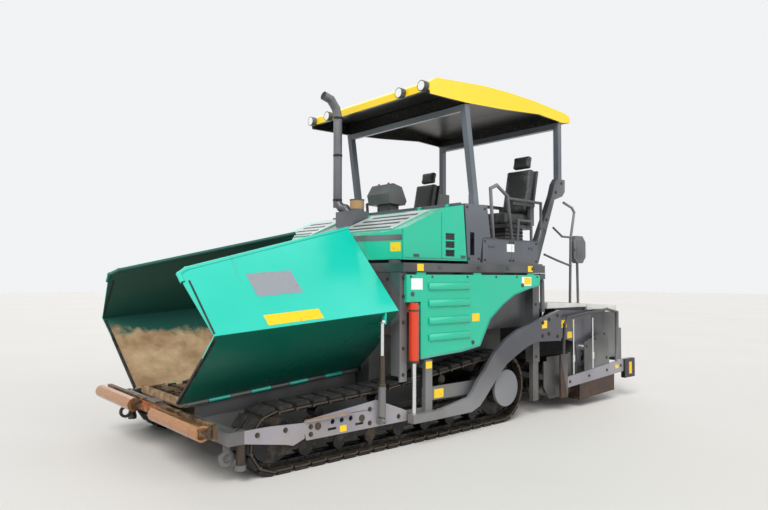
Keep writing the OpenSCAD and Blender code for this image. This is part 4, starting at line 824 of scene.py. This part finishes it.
plate_film = label_film("grey_blank_plate", "#8f959b")
seal_rubber = cast_steel("black_seal_rubber", "#141414", "#3c3833", metal=0.0)
for side_name, side in sides:
    body = f"wing_{side_name}"
    finish(body, wing_finish(side))
    badge = bmesh.new()
    on_panel(badge, (0.330, 0.46, -0.0015), (0.590, 0.89, 0.0), upper_frame)
    sided("wing_blank_plate", badge, plate_film, body, side)
    stripe = bmesh.new()
    on_panel(stripe, (0.030, 0.42, -0.0015), (0.135, 0.94, 0.0), upper_frame)
    sided("wing_label", stripe, yellow_film, body, side)
    seal = bmesh.new()
    on_panel(seal, (0.05, -0.030, -0.004), (0.99, -0.004, 0.016), lower_frame, 0.002)
    on_panel(seal, (0.02, -0.040, -0.006), (0.560, -0.026, 0.018), upper_frame, 0.002)
    sided("wing_front_seal", seal, seal_rubber, body, side)

# Wing cylinders: three-part hydraulic cylinders, grey barrel, brown stage and chromed rod.
# A gland ring closes each barrel.
def chromed():
    material, tree, place = blank("chromed_rod")
    film = scaled(tree, noise(tree, place, 40.0, 3.0), to_low=0.12, to_high=0.3)
    return surfaced(material, {"Base Color": linear("#d9dadb"), "Metallic": 1.0, "Roughness": film})


chrome = chromed()
barrel_x, barrel_y = 1.240, -1.335
gland_section = ((0.0285, 0.592), (0.0365, 0.592), (0.0365, 0.614), (0.0285, 0.614))
for side_name, side in sides:
    finish(f"wing_barrel_{side_name}", grey_enamel)
    finish(f"wing_stage_{side_name}", rubbed_steel)
    finish(f"wing_rod_{side_name}", chrome)
    gland = bmesh.new()
    rim = [gland.verts.new((side * barrel_x + r, barrel_y, z)) for r, z in gland_section]
    edges = [gland.edges.new((rim[k - 1], rim[k])) for k in range(4)]
    bmesh.ops.spin(gland, geom=edges, cent=(side * barrel_x, barrel_y, 0.6), axis=upward, angle=2 * math.pi, steps=28,
                   use_merge=True)
    extra(f"wing_barrel_gland_{side_name}", gland, rubbed_steel, f"wing_barrel_{side_name}")

# Push bar: a welded bar with two free rollers, rubbed tan and rusty by lorry tyres.
# A centre bracket and the end plates carry the axles, which end in thin caps.
bar_steel = cast_steel("worn_push_bar", "#5f4c3a", "#8e7456", 0.45, 0.62)
roller_steel = cast_steel("rust_tan_roller", "#c08a5c", "#8a5f40", 0.50, 0.95, 0.28, 0.7)
finish("push_bar", bar_steel)
roller_y, roller_z = -2.970, 0.415
for side_name, side in sides:
    finish(f"push_roller_{side_name}", roller_steel)
    caps = bmesh.new()
    for x in (0.2395, 1.1455):
        inward = 0.010 if x < 1 else -0.010
        rod(caps, (side * x, roller_y, roller_z), (side * (x + inward), roller_y, roller_z), 0.052, 28)
    extra(f"roller_caps_{side_name}", caps, roller_steel, f"push_roller_{side_name}")
centre = blocks(((-0.200, -2.915, 0.375), (0.200, -2.903, 0.455), 0.004),
                ((-0.130, -2.945, 0.385), (0.130, -2.912, 0.445), 0.006))
bolts(centre, [(x, -2.945, z) for x in (-0.10, 0.10) for z in (0.398, 0.432)], 0.010, axis=forward)
bracket_steel = cast_steel("orange_rust_bracket", "#b5673a", "#6f4630", metal=0.1)
extra("push_bar_bracket", centre, bracket_steel, "push_bar")
bar_bolts = bmesh.new()
bolts(bar_bolts, [(1.177, y, z) for y in (-2.985, -2.945) for z in (0.392, 0.438)], 0.008, 0.008)
extra("push_bar_bolts", bar_bolts, rubbed_steel, "push_bar", both=True)

# Side flaps: hollow pressed doors in turquoise, hung on the deck rails, with four ribs each.
# Small black locks hold them; blank white and yellow labels sit between the ribs.
for side_name, side in sides:
    body = f"side_flap_{side_name}"
    finish(body, green_enamel)
    locks = bmesh.new()
    for y, z in ((-0.960, 1.400), (-0.120, 0.900), (0.700, 1.470)):
        rod(locks, (rail_x, y, z), (1.239, y, z), 0.022, 20)
        block(locks, (1.236, y - 0.012, z - 0.005), (1.244, y + 0.012, z + 0.005), 0.002)
    bolts(locks, [(rail_x, y, 1.560) for y in (-0.98, -0.70, -0.20, 0.25, 0.60, 0.97)], 0.008, 0.007)
    sided("flap_locks", locks, dark_enamel, body, side)
    ribs = bmesh.new()
    for z in (1.468, 1.308, 1.140, 0.984):
        block(ribs, (1.226, -0.755, z - 0.036), (1.254, -0.170, z + 0.036), 0.016)
    sided("flap_rib_lips", ribs, green_enamel, body, side, smooth=True)
    edge = bmesh.new()
    plate(edge, [(-0.853, 0.790), (-0.597, 0.805), (-0.285, 0.818), (-0.010, 0.856), (0.157, 1.121), (0.362, 1.265),
                 (0.558, 1.363), (0.832, 1.432), (1.021, 1.462), (1.021, 1.478), (0.832, 1.448), (0.558, 1.379),
                 (0.362, 1.281), (0.147, 1.137), (-0.020, 0.872), (-0.285, 0.834), (-0.597, 0.821), (-0.853, 0.806)],
          1.2335, 1.2365)
    edge_enamel = enamel(f"flap_edge_enamel_{side_name}", "#0e8f7f", "#6f7a68", 0.4, 1.0)
    sided("flap_edge", edge, edge_enamel, body, side)
    white = blocks(((rail_x, -0.975, 1.440), (1.2352, -0.830, 1.545)),
                   ((rail_x, 0.690, 1.462), (1.2350, 0.860, 1.560)))
    sided("flap_white_labels", white, white_film, body, side)
    yellow = blocks(((rail_x, 0.730, 1.476), (1.2362, 0.850, 1.552)),
                    ((rail_x, -0.130, 1.110), (1.2352, -0.020, 1.190)))
    sided("flap_yellow_labels", yellow, yellow_film, body, side)

# Levelling: orange-red hydraulic cylinders on grey brackets, chromed rods down to the tow points.
# The guides are grey; steel glands, a pipe, pin caps and blank yellow labels are added.
finish("level_cylinders", red_enamel)
finish_part("level_cylinders", grey_enamel, lambda p, n: abs(p.x) < 1.2075)
finish("tow_guides", grey_enamel)
finish("tow_points", grey_enamel)
finish_part("tow_points", chrome, lambda p, n: p.z > 0.303 and abs(p.x) > 1.225)
level_x, level_y = 1.254, -0.961
tow_pin_y, tow_pin_z = -0.640, 0.262
levels = bmesh.new()
rod(levels, (level_x, level_y, 0.7655), (level_x, level_y, 0.790), 0.0475, 28)
rod(levels, (level_x, level_y, 1.240), (level_x, level_y, 1.256), 0.0475, 28)
block(levels, (1.222, -0.935, 1.256), (1.254, -0.905, 1.286), 0.004)
rod(levels, (1.2125, -0.905, 0.800), (1.2125, -0.905, 1.270), 0.007, 14)
extra("levelling_glands_and_pipe", levels, rubbed_steel, both=True)
for side_name, side in sides:
    side_labels(f"guide_post_label_{side_name}", [(-0.790, 0.695, 0.080, 0.065)], side * 1.238, yellow_film)
    side_labels(f"guide_plate_label_{side_name}", [(-0.640, 0.395, 0.130, 0.085)], side * 1.196, yellow_film)
pins = bmesh.new()
rod(pins, (1.2965, tow_pin_y, tow_pin_z), (1.3015, tow_pin_y, tow_pin_z), 0.036, 28)
bolts(pins, [(1.2945, y, z) for y in (-0.97, -0.75) for z in (0.240, 0.284)], 0.010, 0.007)
extra("tow_pin_caps", pins, rubbed_steel, "tow_points", both=True)

# Tow arms and inner plates: flame-cut plate in dark slate enamel.
# The final drive's cover shows between them as a smooth disc.
arm_enamel = enamel("tow_arm_enamel", "#3d3f47", "#6f6353", 0.2, 0.8, 0.3, 0.3)
finish("tow_arms", arm_enamel)
finish("arm_plates", arm_enamel)
finish_part("running_gear", enamel("hub_cover_enamel", "#5d6066", "#7a6d5c", 0.0, 0.6, 0.3, 0.35),
            lambda p, n: abs(p.x) > 1.205)
arm_bolts = bmesh.new()
arm_rows = ((1.00, 0.90), (1.00, 1.05), (1.12, 0.92), (1.12, 1.08), (1.29, 0.88), (1.29, 1.12))
bolts(arm_bolts, [(1.284, y, z) for y, z in arm_rows], 0.016, 0.012)
extra("tow_arm_bolts", arm_bolts, rubbed_steel, "screed", both=True)
for side_name, side in sides:
    side_labels(f"tow_arm_labels_{side_name}", [(0.985, 0.985, 0.095, 0.085)], side * 1.284, yellow_film, "screed")
    side_labels(f"inner_plate_labels_{side_name}", [(1.500, 0.960, 0.110, 0.090), (1.620, 0.830, 0.100, 0.075)],
                side * 1.192, yellow_film, "screed")

# Augers: cast flights on a steel shaft, polished on the face that pushes the asphalt.
# The real flights are helical; one winding of ribbon per 150 mm joins the source's discs.
finish("auger_carrier", dark_enamel)
flight_steel = cast_steel("polished_auger_flights", "#6e665c", "#2a2623", 0.5, 0.7, 0.4, 0.8)
auger_y, auger_z = 1.450, 0.330
for side_name, side in sides:
    finish(f"auger_{side_name}", flight_steel)
    ribbon = bmesh.new()
    section = ((0.043, -0.006), (0.183, -0.004), (0.183, 0.004), (0.043, 0.006))
    rows = []
    for k in range(20 * 7 + 1):
        x, a = 0.085 + 0.150 * k / 20, 2 * math.pi * k / 20
        if x > 1.135:
            break
        across, up = math.cos(a), math.sin(a)
        rows.append([ribbon.verts.new((x + dx, auger_y + r * across, auger_z + r * up)) for r, dx in section])
    for one, two in zip(rows, rows[1:]):
        for j in range(4):
            ribbon.faces.new((one[j], one[(j + 1) % 4], two[(j + 1) % 4], two[j]))
    ribbon.faces.new(rows[0])
    ribbon.faces.new(rows[-1][::-1])
    sided("auger_flights", ribbon, flight_steel, f"auger_{side_name}", side)

# Screed: welded box frames in charcoal over heated sole boxes, which are brown with heat and bitumen.
# Rows of bolts hold the plates along the front.
tarry = cast_steel("bitumen_brown_sole", "#2e211a", "#5a3d27", 0.45, 0.7, 0.55, 0.2)


def screed_low(p, n):
    return p.z < 0.335


finish("main_screed", dark_enamel)
finish_part("main_screed", tarry, screed_low)
screed_turn = (Matrix.Translation((0, tow_pin_y, tow_pin_z)) @ Matrix.Rotation(math.radians(2.2), 4, "X")
               @ Matrix.Translation((0, -tow_pin_y, -tow_pin_z)))
shield = bmesh.new()
bolts(shield, [(-1.10 + 0.20 * k, 1.705, z) for k in range(12) for z in (0.16, 0.50)], 0.012, axis=forward)
bolts(shield, [(-1.05 + 0.30 * k, 1.780, z) for k in range(8) for z in (0.66, 0.98)], 0.012, axis=forward)
for v in shield.verts:
    v.co = screed_turn @ v.co
extra("screed_bolts", shield, rubbed_steel, "screed")
finish("walkway", white_enamel)
finish_part("walkway", dark_enamel, lambda p, n: 1.0795 < abs(p.x) < 1.1005 and p.z < 1.1925)
finish("screed_rails", tube_enamel)
grip = studs(36, 8, 0.016, 0.0025, math.atan2(-0.023, 0.526), (-1.085, 1.66, 1.2502), (0.062, 0.058, -0.058 * 0.04373))
extra("walkway_tread", grip, rubbed_steel, "screed")
cabinets = blocks(((1.116, 1.960, 1.790), (1.119, 2.100, 2.020), 0.001))
rod(cabinets, (1.116, 1.925, 1.900), (1.124, 1.925, 1.900), 0.016, 18)
extra("remote_box_doors", cabinets, grey_enamel, "screed", both=True)

# Extensions: charcoal frames that slide on round guides, light grey side bars, white walkways.
# A yellow reflector in a black frame stands at the rear of each side bar.
def bar_rise(y):
    """How much higher the sloping side bar stands at y than at its front end."""
    return (y - 1.483) * 0.075


light_enamel = enamel("light_grey_side_bar", "#74727b", "#7a6b57", 0.2, 0.6, 0.32, 0.45)
for side_name, side in sides:
    body = f"extension_{side_name}"
    finish(body, dark_enamel)
    finish_part(body, tarry, screed_low)
    finish_part(body, light_enamel, lambda p, n: abs(p.x) > 1.2555 and 1.4825 < p.y < 2.769 and abs(p.x) < 1.2795
                and abs(p.z - 0.385 - bar_rise(p.y)) < 0.085)
    finish_part(body, chrome, lambda p, n: abs(p.x) < 1.1 and 0.5 < p.z < 0.76 and 1.903 < p.y < 1.997)
    finish(f"extension_walk_{side_name}", white_enamel)
    finish_part(body, black_film, lambda p, n: p.y > 2.766 and abs(p.x) > 1.243 and p.z < 0.52)
    reflector = blocks(((1.297, 2.795, 0.285), (1.3012, 2.985, 0.470), 0.003))
    sided("reflector_frame", reflector, black_film, body, side)
    glass = blocks(((1.300, 2.870, 0.300), (1.3019, 2.940, 0.455), 0.001))
    sided("reflector", glass, label_film(f"yellow_reflector_{side_name}", "#f0b41c"), body, side)
    spindles = bmesh.new()
    for y in (1.640, 2.060):
        rod(spindles, (1.262, y, 0.400 + bar_rise(y)), (1.262, y, 1.060), 0.011, 14)
        rod(spindles, (1.262, y, 0.560), (1.262, y, 0.640), 0.020, 14)
    sided("depth_spindles", spindles, chrome, body, side)
    plates = bmesh.new()
    bolts(plates, [(1.278, y, 0.330 + bar_rise(y)) for y in (1.54, 1.95, 2.36, 2.70)], 0.012)
    bolts(plates, [(1.263, y, z) for y, z in ((1.93, 0.72), (2.12, 0.80), (2.33, 0.85), (2.38, 0.55))], 0.012)
    bolts(plates, [(x, 2.8702, z) for x in (0.20, 0.60, 1.00) for z in (0.93, 1.05)], 0.012, axis=rearward)
    sided("extension_bolts", plates, rubbed_steel, body, side)
    stripe = blocks(((1.278, 2.560, 0.395), (1.2792, 2.640, 0.440)))
    sided("side_bar_label", stripe, yellow_film, body, side)

# Lifting cylinders: grey barrels between the rear posts and the tow arms, chromed rods.
# The lugs, the forks of the wing cylinders and the rear brackets are grey too.
finish("lift_barrels", grey_enamel)
finish("lift_rods", chrome)
for node_name in ("lift_lugs", "wing_forks", "rear_brackets"):
    finish(node_name, grey_enamel)
